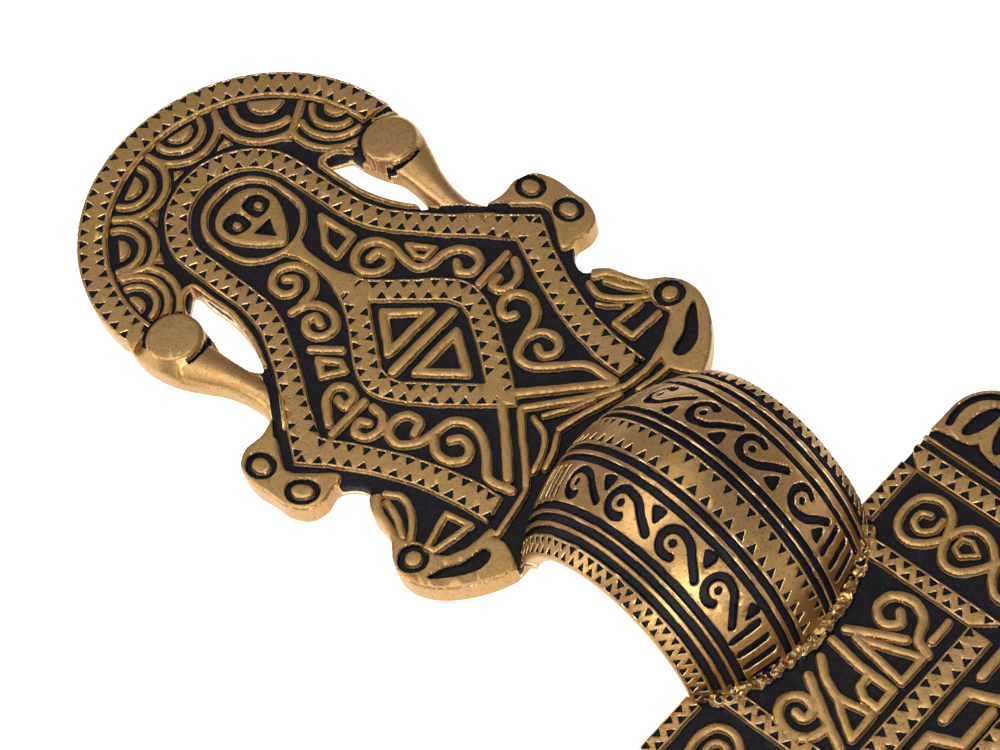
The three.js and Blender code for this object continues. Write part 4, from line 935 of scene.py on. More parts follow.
@dataclass
class Bow:
    """The strap bow: an arch with grooves, punched rows and scroll panels along it."""

    triangles: int = 40_920
    y: float = 47.4
    z: float = -9.2
    along_radius: float = 19.4
    height_radius: float = 23.5
    camber: float = 27.0
    half_width: float = 17.2
    wall: float = 2.3
    side_radius: float = 0.8
    grooves: tuple[float, ...] = (-14.5, -12.8, -10.8, -4.2, -2.8, 2.6, 4.2, 10.7, 12.2, 13.8)
    groove_width: float = 0.95
    groove_depth: float = 0.65
    comma_right: Points = ((7.4, 14.8), (7.4, 6.7), (7.4, -1.8), (7.4, -10.2))
    comma_left: Points = ((7.7, 14.9), (7.7, 5.9), (7.7, -2.1), (7.7, -10.3))
    drop_right: Points = ((5.8, 20.0), (5.8, 11.2), (6.0, 3.0), (6.0, -5.0))
    drop_left: Points = ((6.7, 19.5), (6.4, 10.4), (6.0, 1.8), (5.9, -6.0))
    runs: Array = field(init=False)
    turns: Array = field(init=False)

    def __post_init__(self) -> None:
        """Measures the run along the crest, zero at the top and positive toward the head."""
        self.turns = np.radians(np.linspace(0, 180, 1801))
        crest = np.stack([-self.along_radius * np.cos(self.turns),
                          self.height_radius * np.sin(self.turns)], axis=1)
        steps = np.linalg.norm(np.diff(crest, axis=0), axis=1)
        runs = np.concatenate([[0], np.cumsum(steps)])
        self.runs = runs - runs[len(runs) // 2]

    def bend(self, places: Array) -> Array:
        """Carries sheet points (across, run, lift) onto the arch."""
        across, run, lift = places.T
        t = np.interp(run, self.runs, self.turns)
        ny, nz = -np.cos(t) / self.along_radius, np.sin(t) / self.height_radius
        size = np.hypot(ny, nz)
        ny, nz = ny / size, nz / size
        lean = across / self.camber
        out = (self.camber + lift) * np.cos(lean) - self.camber
        y = self.y - self.along_radius * np.cos(t) + ny * out
        z = self.z + self.height_radius * np.sin(t) + nz * out
        return np.stack([(self.camber + lift) * np.sin(lean), y, z], axis=1)

    def unbend(self, places: Array) -> Array:
        """Carries drawing points near the arch back to (across, run, lift)."""
        x, y, z = places.T
        crest_y = self.y - self.along_radius * np.cos(self.turns)
        crest_z = self.z + self.height_radius * np.sin(self.turns)
        near = np.empty(len(x), int)
        batch = 4000
        for start in range(0, len(x), batch):
            part = slice(start, start + batch)
            gap = (y[part, None] - crest_y) ** 2 + (z[part, None] - crest_z) ** 2
            near[part] = np.argmin(gap, axis=1)
        t = self.turns[near]
        ty, tz = self.along_radius * np.sin(t), self.height_radius * np.cos(t)
        size = np.hypot(ty, tz)
        ty, tz = ty / size, tz / size
        dy, dz = y - crest_y[near], z - crest_z[near]
        run = self.runs[near] + dy * ty + dz * tz
        out = dy * -tz + dz * ty
        across = np.arctan2(x, self.camber + out) * self.camber
        return np.stack([across, run, np.hypot(x, self.camber + out) - self.camber], axis=1)

    def run_at_level(self, across: float, level: float, end: int) -> float:
        """Returns the run at which the strap's middle comes down to a level, at one end."""
        count, farthest = 2000, 45
        runs = np.linspace(0, end * farthest, count)
        places = np.stack([np.full(count, across), runs, np.full(count, -self.wall / 2)], axis=1)
        z = self.bend(places)[:, 2]
        return float(runs[np.argmax(z < level)])

    def end_line(self, level: float, end: int, half: float, count: int) -> Array:
        """Returns points (across, run) along one end of the strap, cut off at a level."""
        return np.array([(u, self.run_at_level(u, level, end)) for u in np.linspace(-half, half, count)])

    def outline(self, foot_level: float, head_level: float) -> Array:
        """Returns the strap's outline in (across, run), ending inside both plates."""
        foot = self.end_line(foot_level, -1, self.half_width, 25)
        head = self.end_line(head_level, 1, self.half_width, 25)
        return np.vstack([foot, head[::-1]])

    def carve(self, foot_level: float, head_level: float) -> Sheet:
        """Carves the strap and returns its sheet."""
        sheet = Sheet(self.outline(foot_level, head_level), [], 0.0, 0.05, 31)
        sheet.dark[:] = 0.0
        low, high = sheet.outline[:, 1].min(), sheet.outline[:, 1].max()
        for across in self.grooves:
            line = np.array([(across, run) for run in np.linspace(low - 1, high + 1, 60)])
            sheet.sink_line(line, self.groove_width, self.groove_depth)
        self.punch_rows(sheet, low, high)
        for side in Side:
            self.carve_panel(sheet, side)
        sheet.round_edge(self.side_radius, self.half_width - np.abs(sheet.x))
        # painted shade, black, where the strap goes down into the plates
        self.paint_shade_at_ends(sheet, foot_level, head_level)
        return sheet

    def paint_shade_at_ends(self, sheet: Sheet, foot_level: float, head_level: float) -> None:
        """Paints shade onto the strap where it meets the plates: black, most at the foot, with a ragged
        edge.
        """
        for level, end, reach in ((foot_level, -1, 2.6), (head_level, 1, 1.6)):
            sides, ends = self.end_line(level, end, self.half_width, 25).T
            left = (np.interp(sheet.x, sides, ends) - sheet.y) * end
            ragged = reach + 0.35 * noise(sheet.x, sheet.y, 0.9, 37)
            sheet.dark = np.maximum(sheet.dark, soft((ragged - left) / 0.6))

    def junction(self, level: float, half: float, end: int) -> Array:
        """Returns points on the strap's face along the line where it comes down to a level."""
        line = self.end_line(level, end, half, 90)
        return self.bend(np.column_stack([line, np.zeros(len(line))]))

    def punch_rows(self, sheet: Sheet, low: float, high: float) -> None:
        """Punches the rows of triangles down the middle and along both edges."""
        rows = (
            (-1.95, 1, 1.95, 1.15, 1.1), (1.65, -1, 1.95, 1.15, 1.15),
            (-16.9, 1, 2.0, 1.2, 0.95), (-15.1, -1, 2.0, 1.2, 0.95),
            (16.5, -1, 2.0, 1.2, 0.9), (14.7, 1, 2.0, 1.2, 0.9),
        )
        for k, (across, facing, pitch, base, tall) in enumerate(rows):
            line = np.array([(across, run) for run in np.linspace(low, high, 80)])
            sheet.punch_row(line, line + [6 * facing, 0], pitch, base, tall, 0.5 * (k % 2) + 0.1)

    def carve_panel(self, sheet: Sheet, side: Side) -> None:
        """Cuts one scroll panel: commas round a dot, drops between them, and bars at both ends."""
        s = side.value
        commas = self.comma_right if side is Side.RIGHT else self.comma_left
        drops = self.drop_right if side is Side.RIGHT else self.drop_left
        for across, run in commas:
            curl = arc(across, run, 1.72, 32, -180, 18)
            tail = curve([tuple(curl[-2]), tuple(curl[-1]), (across - 1.25, run + 1.7),
                          (across - 0.1, run + 3.1), (across + 1.3, run + 5.1)])
            line = np.vstack([curl[:-2], tail])
            sheet.sink_line(line * [s, 1], 1.05, 0.66)
            sheet.sink_shape(oval(across, run, 0.5, 0.5) * [s, 1], 0.5)
        for across, run in drops:
            drop = curve(((across - 0.9, run + 0.65), (across + 0.2, run + 0.7), (across + 1.1, run + 0.3),
                          (across + 0.3, run - 0.6), (across - 0.5, run - 1.1), (across - 0.9, run - 0.4)),
                         closed=True)
            sheet.sink_shape(drop * [s, 1], 0.6)
        for run in (21.7, 24.2, 26.6, 29.1):
            sheet.sink_line(np.array([(5.9, run), (9.5, run + 0.1)]) * [s, 1], 1.1, 0.55)
        for run in (-13.7, -15.1, -16.5, -17.9, -19.3):
            sheet.sink_line(np.array([(5.7, run), (9.6, run)]) * [s, 1], 0.5, 0.4)


# ---- Head plate -----------------------------------------------------------------------------------------

SIDE_STROKES: tuple[Stroke, ...] = (
    Stroke(1.15, ((18.6, 70.7), (17.0, 69.4), (15.9, 67.4), (16.5, 65.3), (19.0, 64.4), (21.5, 65.1),
        (22.5, 67.2), (21.8, 69.2), (19.6, 70.5), (17.3, 71.3), (15.9, 72.8), (16.1, 74.6), (17.7, 76.2),
        (19.7, 77.5), (21.5, 79.2), (21.9, 81.2))),
    Stroke(1.15, ((18.8, 70.7), (21.0, 71.7), (22.0, 73.4), (21.5, 75.4), (19.7, 77.2), (17.5, 78.5),
        (16.2, 80.2), (16.6, 82.0), (18.6, 83.0), (20.8, 82.6), (21.9, 81.2))),
    Stroke(0.95, ((20.5, 69.0), (18.8, 68.9), (17.7, 67.6), (18.3, 66.3), (19.7, 66.3), (20.2, 67.4))),
    Stroke(0.7, ((19.3, 75.2), (17.9, 73.6), (18.4, 72.3), (19.9, 72.3), (20.3, 73.6)), closed=True),
    Stroke(0.9, ((18.0, 80.4), (19.0, 79.5), (20.1, 80.3), (19.5, 81.3))),
)
PALMETTE_STROKES: tuple[Stroke, ...] = (
    Stroke(1.15, ((-10.2, 77.9), (-7.2, 77.9))),
    Stroke(1.3, ((-5.6, 78.6), (-6.4, 76.6), (-8.9, 75.3), (-10.0, 73.0), (-8.9, 70.4), (-6.7, 70.1),
        (-5.6, 71.9), (-6.8, 73.5), (-8.0, 72.6))),
    Stroke(1.1, ((-4.9, 78.5), (-2.2, 70.6), (-1.0, 78.5)), closed=True),
    Stroke(1.25, ((-5.6, 75.4), (-3.9, 72.0), (-2.4, 69.0))),
    Stroke(1.25, ((0.4, 78.2), (0.3, 73.2), (-0.4, 68.6))),
    Stroke(1.15, ((0.4, 78.4), (0.5, 74.8), (2.4, 75.0), (3.3, 76.4), (3.3, 78.4)), closed=True),
    Stroke(1.1, ((4.3, 78.5), (5.0, 73.6), (8.2, 78.5)), closed=True),
    Stroke(1.25, ((5.0, 73.6), (3.9, 71.0), (2.2, 69.0))),
    Stroke(1.3, ((9.9, 78.3), (8.0, 74.6), (4.9, 69.4))),
    Stroke(1.3, ((8.4, 75.4), (10.8, 74.7), (11.9, 72.4), (10.9, 69.8), (8.9, 69.1), (7.4, 70.6),
        (7.8, 72.6), (9.5, 72.6), (9.4, 71.3))),
)


@dataclass
class HeadPlate:
    """The rectangular head plate with its panels, punched bands, meander and lobed border."""

    triangles: int = 66_960
    level: float = -5.2
    thickness: float = 3.0
    relief: float = 0.8
    near: float = 59.8
    rim_half: float = 28.3
    rim_far: float = 94.0
    border_half: float = 29.4
    border_far: float = 94.9
    lobe: float = 6.1
    lobe_x: float = 33.3
    first_lobe: float = 65.9
    lobe_pitch: float = 11.4
    corner_lobe: tuple[float, float] = (32.6, 98.6)
    end_lobe_y: float = 98.9
    lobe_valley: Points = (
        (-4.1, -5.7), (-3.6, -5.2), (-3.3, -3.6), (-3.15, -1.9), (-2.8, -0.7), (-2.05, 0.0), (-2.8, 0.7),
        (-3.15, 1.9), (-3.3, 3.6), (-3.6, 5.2), (-4.1, 5.7))
    panel_half: float = 11.3
    band_half: float = 13.9
    cross: tuple[float, float] = (80.0, 83.5)
    edge: tuple[float, float] = (24.0, 27.0)
    edge_near: float = 62.2
    edge_start: float = 15.5
    edge_far: tuple[float, float] = (90.0, 93.2)

    def bend(self, places: Array) -> Array:
        """Carries sheet points to their level below the foot."""
        return places + [0, 0, self.level]

    def unbend(self, places: Array) -> Array:
        """Carries drawing points back to the sheet."""
        return places - [0, 0, self.level]

    def lobe_centres(self) -> list[tuple[float, float, float]]:
        """Returns the lobes' middles and the way they face, from right near round to left near."""
        half = [(self.lobe_x, self.first_lobe + i * self.lobe_pitch, 0.0) for i in range(3)]
        half += [(*self.corner_lobe, 45.0), (2 * self.lobe_pitch, self.end_lobe_y, 90.0),
                 (self.lobe_pitch, self.end_lobe_y, 90.0)]
        others = [(-x, y, 180.0 - facing) for x, y, facing in half][::-1]
        return half + [(0.0, self.end_lobe_y, 90.0)] + others

    def lobed_line(self) -> Array:
        """Returns the scalloped line round the lobes; each arc ends at its crossing with the next."""
        centres, r = self.lobe_centres(), self.lobe
        crossing = []
        for (ax, ay, _), (bx, by, _) in zip(centres[:-1], centres[1:]):
            apart = math.hypot(bx - ax, by - ay)
            rise = math.sqrt(r * r - apart * apart / 4)
            crossing.append(((ax + bx) / 2 + (by - ay) / apart * rise,
                             (ay + by) / 2 - (bx - ax) / apart * rise))
        line = []
        for i, (x, y, _) in enumerate(centres):
            start = (x, y - r) if i == 0 else crossing[i - 1]
            end = (x, y - r) if i == len(centres) - 1 else crossing[i]
            a = math.degrees(math.atan2(start[1] - y, start[0] - x))
            b = math.degrees(math.atan2(end[1] - y, end[0] - x))
            while b < a:
                b += 360
            line.append(arc(x, y, r, a, b, 20)[1 if i else 0:])
        return np.vstack(line)

    def carve(self, joint: Array) -> Sheet:
        """Carves the head plate, with the rough bead along the bow's joint, and returns its sheet."""
        sheet = Sheet(self.lobed_line(), [], self.relief, 0.06, 51)
        self.carve_border(sheet)
        self.carve_bands(sheet)
        sheet.raise_strokes(PALMETTE_STROKES + SIDE_STROKES)
        sheet.raise_strokes(stroke.mirrored() for stroke in SIDE_STROKES)
        self.carve_meander(sheet)
        self.carve_bead(sheet, joint)
        sheet.round_edge(0.55, sheet.inside)
        return sheet

    def carve_bead(self, sheet: Sheet, joint: Array) -> None:
        """Raises the rough bead of metal left where the bow joins the plate."""
        line = joint + [0.0, 0.35]
        win = sheet.window(line, 2.0)
        x, y = sheet.x[win], sheet.y[win]
        breadth = 0.85 + 0.3 * noise(x, y, 0.9, 81) + 0.15 * noise(x, y, 0.4, 82)
        cover = soft((breadth - distance(x, y, line)) / 0.45)
        lumps = 0.2 + 0.3 * noise(x, y, 0.6, 83) + 0.15 * noise(x, y, 0.3, 84)
        height, under = sheet.height[win], sheet.dark[win]
        level = lumps * cover - self.relief * (1 - cover)
        sheet.height[win] = np.where(cover > 0.001, np.maximum(height, level), height)
        spots = np.clip((noise(x, y, 0.5, 85) - 0.5) * 5, 0, 1)
        dull = 0.22 * (noise(x, y, 0.7, 86) > -0.2)
        dark = np.maximum(np.minimum(under, 1 - cover), spots)
        sheet.dark[win] = np.where(cover > 0.5, np.maximum(dark, dull), under * (1 - cover) + dark * cover)

    def carve_border(self, sheet: Sheet) -> None:
        """Carves the lobes with an arc, two leaves and a valley sunk in each, and the thin rim inside."""
        line = self.lobed_line()
        inner = np.array([(-self.border_half, self.near - 2), (-self.border_half, self.border_far),
                          (self.border_half, self.border_far), (self.border_half, self.near - 2)])
        sheet.raise_shape(line, [inner], reach=0.8)
        for x, y, facing in self.lobe_centres():
            near = y < self.first_lobe + 1
            low, high = facing - 66, facing + 66
            if near:
                low, high = (facing - 112, high) if x > 0 else (low, facing + 112)
            sheet.sink_line(arc(x, y, 5.0, low, high, 24), 0.9, 0.7)
            a = math.radians(facing)
            outward, along = np.array((math.cos(a), math.sin(a))), np.array((-math.sin(a), math.cos(a)))
            for s in (1, -1):
                middle = np.array((x, y)) + 0.6 * outward + s * 1.7 * along
                sheet.sink_shape(oval(*middle, 2.8, 1.05, facing - s * 16), 0.7)
            valley = np.array(self.lobe_valley)
            sheet.sink_shape(np.array((x, y)) + valley[:, :1] * outward + valley[:, 1:] * along, 0.7)
        rim = ((self.rim_half, self.near - 1), (self.rim_half, self.rim_far),
               (-self.rim_half, self.rim_far), (-self.rim_half, self.near - 1))
        sheet.raise_line(np.array(rim), 0.6)

    def carve_bands(self, sheet: Sheet) -> None:
        """Carves the punched bands round the panels and along the plate's edge."""
        for s in (1, -1):
            self.band(sheet, [(s * self.edge[0], self.edge_near), (s * self.edge[0], self.edge_far[0])],
                      [(s * self.edge[1], self.near - 1), (s * self.edge[1], self.edge_far[1])])
            self.band(sheet, [(s * self.edge_start, self.edge_near), (s * self.edge[0], self.edge_near)],
                      [(s * self.edge_start, self.near), (s * self.edge[0], self.near)])
            self.band(sheet, [(s * self.panel_half, 61.5), (s * self.panel_half, self.cross[0])],
                      [(s * self.band_half, 61.5), (s * self.band_half, self.cross[1])])
        self.band(sheet, [(-self.panel_half, self.cross[0]), (self.panel_half, self.cross[0])],
                  [(-self.panel_half, self.cross[1]), (self.panel_half, self.cross[1])])
        self.band(sheet, [(-self.edge[0], self.edge_far[0]), (self.edge[0], self.edge_far[0])],
                  [(-self.edge[0], self.edge_far[1]), (self.edge[0], self.edge_far[1])])

    def band(self, sheet: Sheet, inner: list[tuple[float, float]], outer: list[tuple[float, float]]) -> None:
        """Raises a straight band between two edges and punches a row along each."""
        a, b = np.array(inner, float), np.array(outer, float)
        sheet.raise_shape(np.vstack([a, b[::-1]]))
        width = float(np.linalg.norm(np.cross((a[1] - a[0]) / np.linalg.norm(a[1] - a[0]), b[0] - a[0])))
        tall = min(1.1, width * 0.33)
        for near, far, phase in ((a, b, 0.4), (b, a, 0.9)):
            line = np.linspace(near[0], near[1], 60)
            other = np.linspace(far[0], far[1], 60)
            toward = other[30] - line[30]
            along = (near[1] - near[0]) / np.linalg.norm(near[1] - near[0])
            toward = toward - along * (toward @ along)
            toward /= np.linalg.norm(toward)
            sheet.punch_row(line + toward * 0.4, line + toward * width, 2.0, 1.25, tall, phase)

    def carve_meander(self, sheet: Sheet) -> None:
        """Carves the stepped meander between the cross band and the far edge."""
        low, high, pitch = 85.2, 88.9, 7.0
        for i in range(-4, 4):
            x = -4.2 + i * pitch
            bars = ((x, high), (x + 5.2, high), (x + 6.7, low), (x + 11.0, low))
            bars = np.array([(min(max(px, -22.3), 22.3), py) for px, py in bars])
            if bars[0, 0] < bars[3, 0]:
                sheet.raise_line(bars, 1.45)


# ---- Back: lugs, catch, axle rod and pin ----------------------------------------------------------------


@dataclass
class BackFittings:
    """The lugs and the catch, cast on the back and filed round."""

    rest: float = -15.6
    head_back: float = -8.2
    foot_back: float = -3.0
    lug: tuple[float, float] = (7.0, 9.4)
    lug_width: float = 7.0
    lug_flat: float = 4.0
    eye_radius: float = 1.3
    catch_y: tuple[float, float] = (10.0, 19.0)
    catch_half: float = 3.0
    catch_slot: float = 1.4
    catch_roof: float = -9.6
    filed: float = 0.3

    def prism(self, name: str, outline: Array, low: float, high: float, axis: str) -> bpy.types.Object:
        """Extrudes an outline with ops and bevels its long edges.

        Args:
            name: The object's name.
            outline: The outline, in the plane across the axis.
            low: Where the prism starts along the axis.
            high: Where it ends.
            axis: "X" for an outline in (y, z), "Y" for one in (x, z).

        Returns:
            The closed prism in drawing millimetres.
        """
        piece = blank(name)
        if axis == "X":
            places = [(low, a, b) for a, b in outline]
            reach = Vector((high - low, 0, 0))
        else:
            places = [(a, low, b) for a, b in outline]
            reach = Vector((0, high - low, 0))
        piece.data.from_pydata(places, [], [tuple(range(len(places)))])
        bpy.ops.object.mode_set(mode="EDIT")
        bpy.ops.mesh.select_all(action="SELECT")
        bpy.ops.mesh.extrude_region_move(TRANSFORM_OT_translate={"value": reach})
        bpy.ops.mesh.select_all(action="SELECT")
        bpy.ops.mesh.normals_make_consistent(inside=False)
        bpy.ops.object.mode_set(mode="OBJECT")
        apply_modifier(piece, "BEVEL", width=self.filed, segments=3, limit_method="ANGLE",
                       angle_limit=math.radians(30))
        apply_modifier(piece, "TRIANGULATE")
        return piece

    def lug_solid(self, side: Side) -> bpy.types.Object:
        """Makes one lug with its eye for the axle rod."""
        w, root = self.lug_width / 2, self.head_back + 0.5
        half = [(w + 0.4, root), (w, -11.0), (w - 0.1, -13.2), (self.lug_flat / 2, self.rest)]
        outline = np.array([(HINGE_Y - a, z) for a, z in half] + [(HINGE_Y + a, z) for a, z in half[::-1]])
        low, high = self.lug if side is Side.RIGHT else (-self.lug[1], -self.lug[0])
        piece = self.prism(f"lug_{side.name.lower()}", outline, low, high, "X")
        deselect()
        bpy.ops.mesh.primitive_cylinder_add(vertices=48, radius=self.eye_radius, depth=6,
                                            location=((low + high) / 2, HINGE_Y, HINGE_Z),
                                            rotation=(0, math.pi / 2, 0))
        drill = bpy.context.object
        apply_modifier(piece, "BOOLEAN", operation="DIFFERENCE", solver="MANIFOLD", object=drill)
        bpy.data.objects.remove(drill)
        return piece

    def catch_solid(self) -> bpy.types.Object:
        """Makes the catch: two cheeks under one roof, open away from the plate."""
        h, s = self.catch_half, self.catch_slot
        cheek = [(h + 0.2, self.foot_back + 0.5), (h, -8.0), (h, self.rest + 0.9), (h - 0.5, self.rest),
                 (s + 0.3, self.rest), (s, self.rest + 0.5), (s, self.catch_roof - 0.9),
                 (s - 0.6, self.catch_roof)]
        outline = np.array(cheek + [(-x, z) for x, z in cheek[::-1]])
        return self.prism("catch", outline, *self.catch_y, "Y")

    def solids(self, placement: Placement) -> list[bpy.types.Object]:
        """Makes all fittings, in metres in the frame."""
        made = [self.lug_solid(side) for side in Side] + [self.catch_solid()]
        for piece in made:
            move_to_frame(piece, placement)
            set_patina(piece, np.full(len(piece.data.vertices), BACK_DARK))
        return made


@dataclass
class PinSet:
    """The axle rod with its riveted heads, and the pin that turns on it."""

    rod_radius: float = 1.0
    rod_end: float = 9.7
    head_radius: float = 1.8
    head_thick: float = 0.9
    hub: float = 2.2
    bore: float = 1.3
    hub_half: float = 6.6
    needle: float = 1.0
    tip_y: float = 7.0

    def revolve(self, name: str, profile: list[tuple[float, float]], centre: Vector, axis: str,
                steps: int = 48) -> bpy.types.Object:
        """Spins a profile of (radius, along) round an axis through a centre.

        Args:
            name: The object's name.
            profile: Points of (radius, place along the axis), from one end to the other.
            centre: A point on the axis, in drawing millimetres.
            axis: "X" or "Y".
            steps: Sides of the turned piece.

        Returns:
            The closed turned piece in drawing millimetres.
        """
        piece = blank(name)
        along = Vector((1, 0, 0)) if axis == "X" else Vector((0, 1, 0))
        places = [centre + along * a + Vector((0, 0, r)) for r, a in profile]
        piece.data.from_pydata([tuple(p) for p in places], [(i, i + 1) for i in range(len(places) - 1)], [])
        bpy.ops.object.mode_set(mode="EDIT")
        bpy.ops.mesh.select_all(action="SELECT")
        bpy.ops.mesh.spin(steps=steps, angle=2 * math.pi, center=centre, axis=along, use_auto_merge=True)
        bpy.ops.mesh.select_all(action="SELECT")
        bpy.ops.mesh.remove_doubles(threshold=1e-4)
        bpy.ops.mesh.normals_make_consistent(inside=False)
        bpy.ops.object.mode_set(mode="OBJECT")
        return piece

    def rod(self) -> bpy.types.Object:
        """Makes the axle rod with a domed head hammered up at each end."""
        end, tip, head = self.rod_end, self.rod_end + self.head_thick, self.head_radius
        half = [(self.rod_radius, 0.0), (self.rod_radius, end - 0.05), (head - 0.1, end), (head, end + 0.2),
                (head * 0.86, tip - 0.25), (head * 0.5, tip - 0.06), (0.0, tip)]
        profile = [(r, -a) for r, a in half[::-1]] + half[1:]
        return self.revolve("axle_rod_dressed", profile, Vector((0, HINGE_Y, HINGE_Z)), "X")

    def pin(self) -> bpy.types.Object:
        """Makes the pin: a rolled hub and a needle that tapers to its tip."""
        b, h, e = self.bore, self.hub, self.hub_half
        rolled = [(b, -e), (h - 0.35, -e), (h - 0.1, -e + 0.1), (h, -e + 0.35), (h, e - 0.35),
                  (h - 0.1, e - 0.1), (h - 0.35, e), (b, e), (b, -e)]
        hub = self.revolve("pin_dressed", rolled, Vector((0, HINGE_Y, HINGE_Z)), "X", 56)
        tip, root, n = self.tip_y, HINGE_Y - (h + b) / 2, self.needle
        taper = [(0.0, tip), (0.22, tip + 0.4), (0.62, tip + 5), (0.88 * n, tip + 12), (n, tip + 26),
                 (n, root - 6), (n + 0.2, root - 3), (n + 0.5, root - 0.6), (n + 0.5, root), (0.0, root)]
        needle = self.revolve("needle", taper, Vector((0, 0, HINGE_Z)), "Y", 32)
        unite(hub, needle)
        return hub

    def dressed(self, placement: Placement) -> tuple[bpy.types.Object, bpy.types.Object]:
        """Makes rod and pin, in metres in the frame, smooth but for their sharp edges."""
        made = (self.rod(), self.pin())
        for piece in made:
            move_to_frame(piece, placement)
            smooth_by_angle(piece, 35)
        return made


def smooth_by_angle(piece: bpy.types.Object, degrees: float) -> None:
    """Shades an object smooth except over edges sharper than an angle."""
    make_active(piece)
    bpy.ops.object.shade_smooth_by_angle(angle=math.radians(degrees))


def fill_missing_patina(piece: bpy.types.Object) -> None:
    """Gives the points made by joins their darkest neighbour's value, and rubs faint darkness clean."""
    mesh = piece.data
    values = np.empty(len(mesh.vertices), np.float32)
    mesh.attributes["patina_and_painted_shade"].data.foreach_get("value", values)
    edges = np.empty(len(mesh.edges) * 2, np.int32)
    mesh.edges.foreach_get("vertices", edges)
    edges = edges.reshape(-1, 2)
    rounds, known = 6, 0.9 * DARK_BASE
    for _ in range(rounds):
        missing = values < known
        if not missing.any():
            break
        highest = np.zeros(len(values), np.float32)
        for a, b in ((0, 1), (1, 0)):
            np.maximum.at(highest, edges[:, a], values[edges[:, b]])
        ready = missing & (highest >= known)
        values[ready] = highest[ready]
    values = np.clip(values - DARK_BASE, 0, 1)
    values[values < FAINT_DARK] *= FAINT_SHARE
    mesh.attributes["patina_and_painted_shade"].data.foreach_set("value", values.astype(np.float32))


# ---- Finishes -------------------------------------------------------------------------------------------


def feed(tree: bpy.types.NodeTree, value: object, target: bpy.types.NodeSocket) -> None:
    """Links a socket to another, or sets that one to a plain number or colour."""
    if isinstance(value, bpy.types.NodeSocket):
        tree.links.new(value, target)
    else:
        target.default_value = value


def ramp(tree: bpy.types.NodeTree, value: bpy.types.NodeSocket,
         stops: tuple[tuple[float, Colour], ...]) -> bpy.types.NodeSocket:
    """Adds a colour ramp with the given stops and returns its colour."""
    node = tree.nodes.new("ShaderNodeValToRGB")
    for element, (place, colour) in zip(node.color_ramp.elements, stops):
        element.position = place
        element.color = colour
    feed(tree, value, node.inputs["Fac"])
    return node.outputs["Color"]


def computed(tree: bpy.types.NodeTree, operation: str, *values: object) -> bpy.types.NodeSocket:
    """Adds a math node on sockets and plain numbers and returns its result."""
    node = tree.nodes.new("ShaderNodeMath")
    node.operation = operation
    for value, target in zip(values, node.inputs):
        feed(tree, value, target)
    return node.outputs[0]


def mixed(tree: bpy.types.NodeTree, share: bpy.types.NodeSocket, first: object,
          second: object) -> bpy.types.NodeSocket:
    """Mixes two colours, each a socket or a plain colour, by the second one's share."""
    node = tree.nodes.new("ShaderNodeMix")
    node.data_type = "RGBA"
    feed(tree, share, node.inputs["Factor"])
    feed(tree, first, node.inputs[6])
    feed(tree, second, node.inputs[7])
    return node.outputs[2]


def spread(tree: bpy.types.NodeTree, mask: bpy.types.NodeSocket, low: float,
           high: float) -> bpy.types.NodeSocket:
    """Spreads a mask of 0..1 between two numbers."""
    node = tree.nodes.new("ShaderNodeMapRange")
    node.inputs["To Min"].default_value = low
    node.inputs["To Max"].default_value = high
    feed(tree, mask, node.inputs["Value"])
    return node.outputs["Result"]


def grain_group() -> bpy.types.NodeTree:
    """Builds the cast skin: fine grain and soft lumps as one height, and two masks.

    Returns:
        The group, with the input Grain and the outputs Height, Fine and Cloud.
    """
    group = bpy.data.node_groups.new("cast_skin", "ShaderNodeTree")
    face = group.interface
    face.new_socket("Grain", in_out="INPUT", socket_type="NodeSocketFloat").default_value = 1.0
    for name in ("Height", "Fine", "Cloud"):
        face.new_socket(name, in_out="OUTPUT", socket_type="NodeSocketFloat")
    start = group.nodes.new("NodeGroupInput")
    end = group.nodes.new("NodeGroupOutput")
    place = group.nodes.new("ShaderNodeTexCoord")
    made = {}
    for name, scale, detail in (("fine", 3200.0, 3.0), ("lump", 900.0, 2.0), ("cloud", 160.0, 3.0)):
        node = group.nodes.new("ShaderNodeTexNoise")
        node.inputs["Scale"].default_value = scale
        node.inputs["Detail"].default_value = detail
        feed(group, place.outputs["Object"], node.inputs["Vector"])
        made[name] = node.outputs["Fac"]
    total = computed(group, "MULTIPLY_ADD", made["lump"], 1.6, made["fine"])
    feed(group, computed(group, "MULTIPLY", total, start.outputs["Grain"]), end.inputs["Height"])
    feed(group, made["fine"], end.inputs["Fine"])
    feed(group, made["cloud"], end.inputs["Cloud"])
    return group


@dataclass(frozen=True)
class Skinned:
    """A metal finish with the cast skin's grain on it."""

    name: str
    grain: float = 1.0
    bump: float = 0.35
    bump_height: float = 0.00006

    def start(self, skin: bpy.types.NodeTree) -> tuple[bpy.types.Material, bpy.types.Node, bpy.types.Node]:
        """Starts the material.

        Args:
            skin: The cast skin's node group.

        Returns:
            The material, its shader with the grain's bump on it, and the grain's node.
        """
        material = bpy.data.materials.new(self.name)
        material.use_nodes = True
        tree = material.node_tree
        shader = tree.nodes["Principled BSDF"]
        grain = tree.nodes.new("ShaderNodeGroup")
        grain.node_tree = skin
        grain.inputs["Grain"].default_value = self.grain
        bump = tree.nodes.new("ShaderNodeBump")
        bump.inputs["Strength"].default_value = self.bump
        bump.inputs["Distance"].default_value = self.bump_height
        feed(tree, grain.outputs["Height"], bump.inputs["Height"])
        feed(tree, bump.outputs["Normal"], shader.inputs["Normal"])
        return material, shader, grain


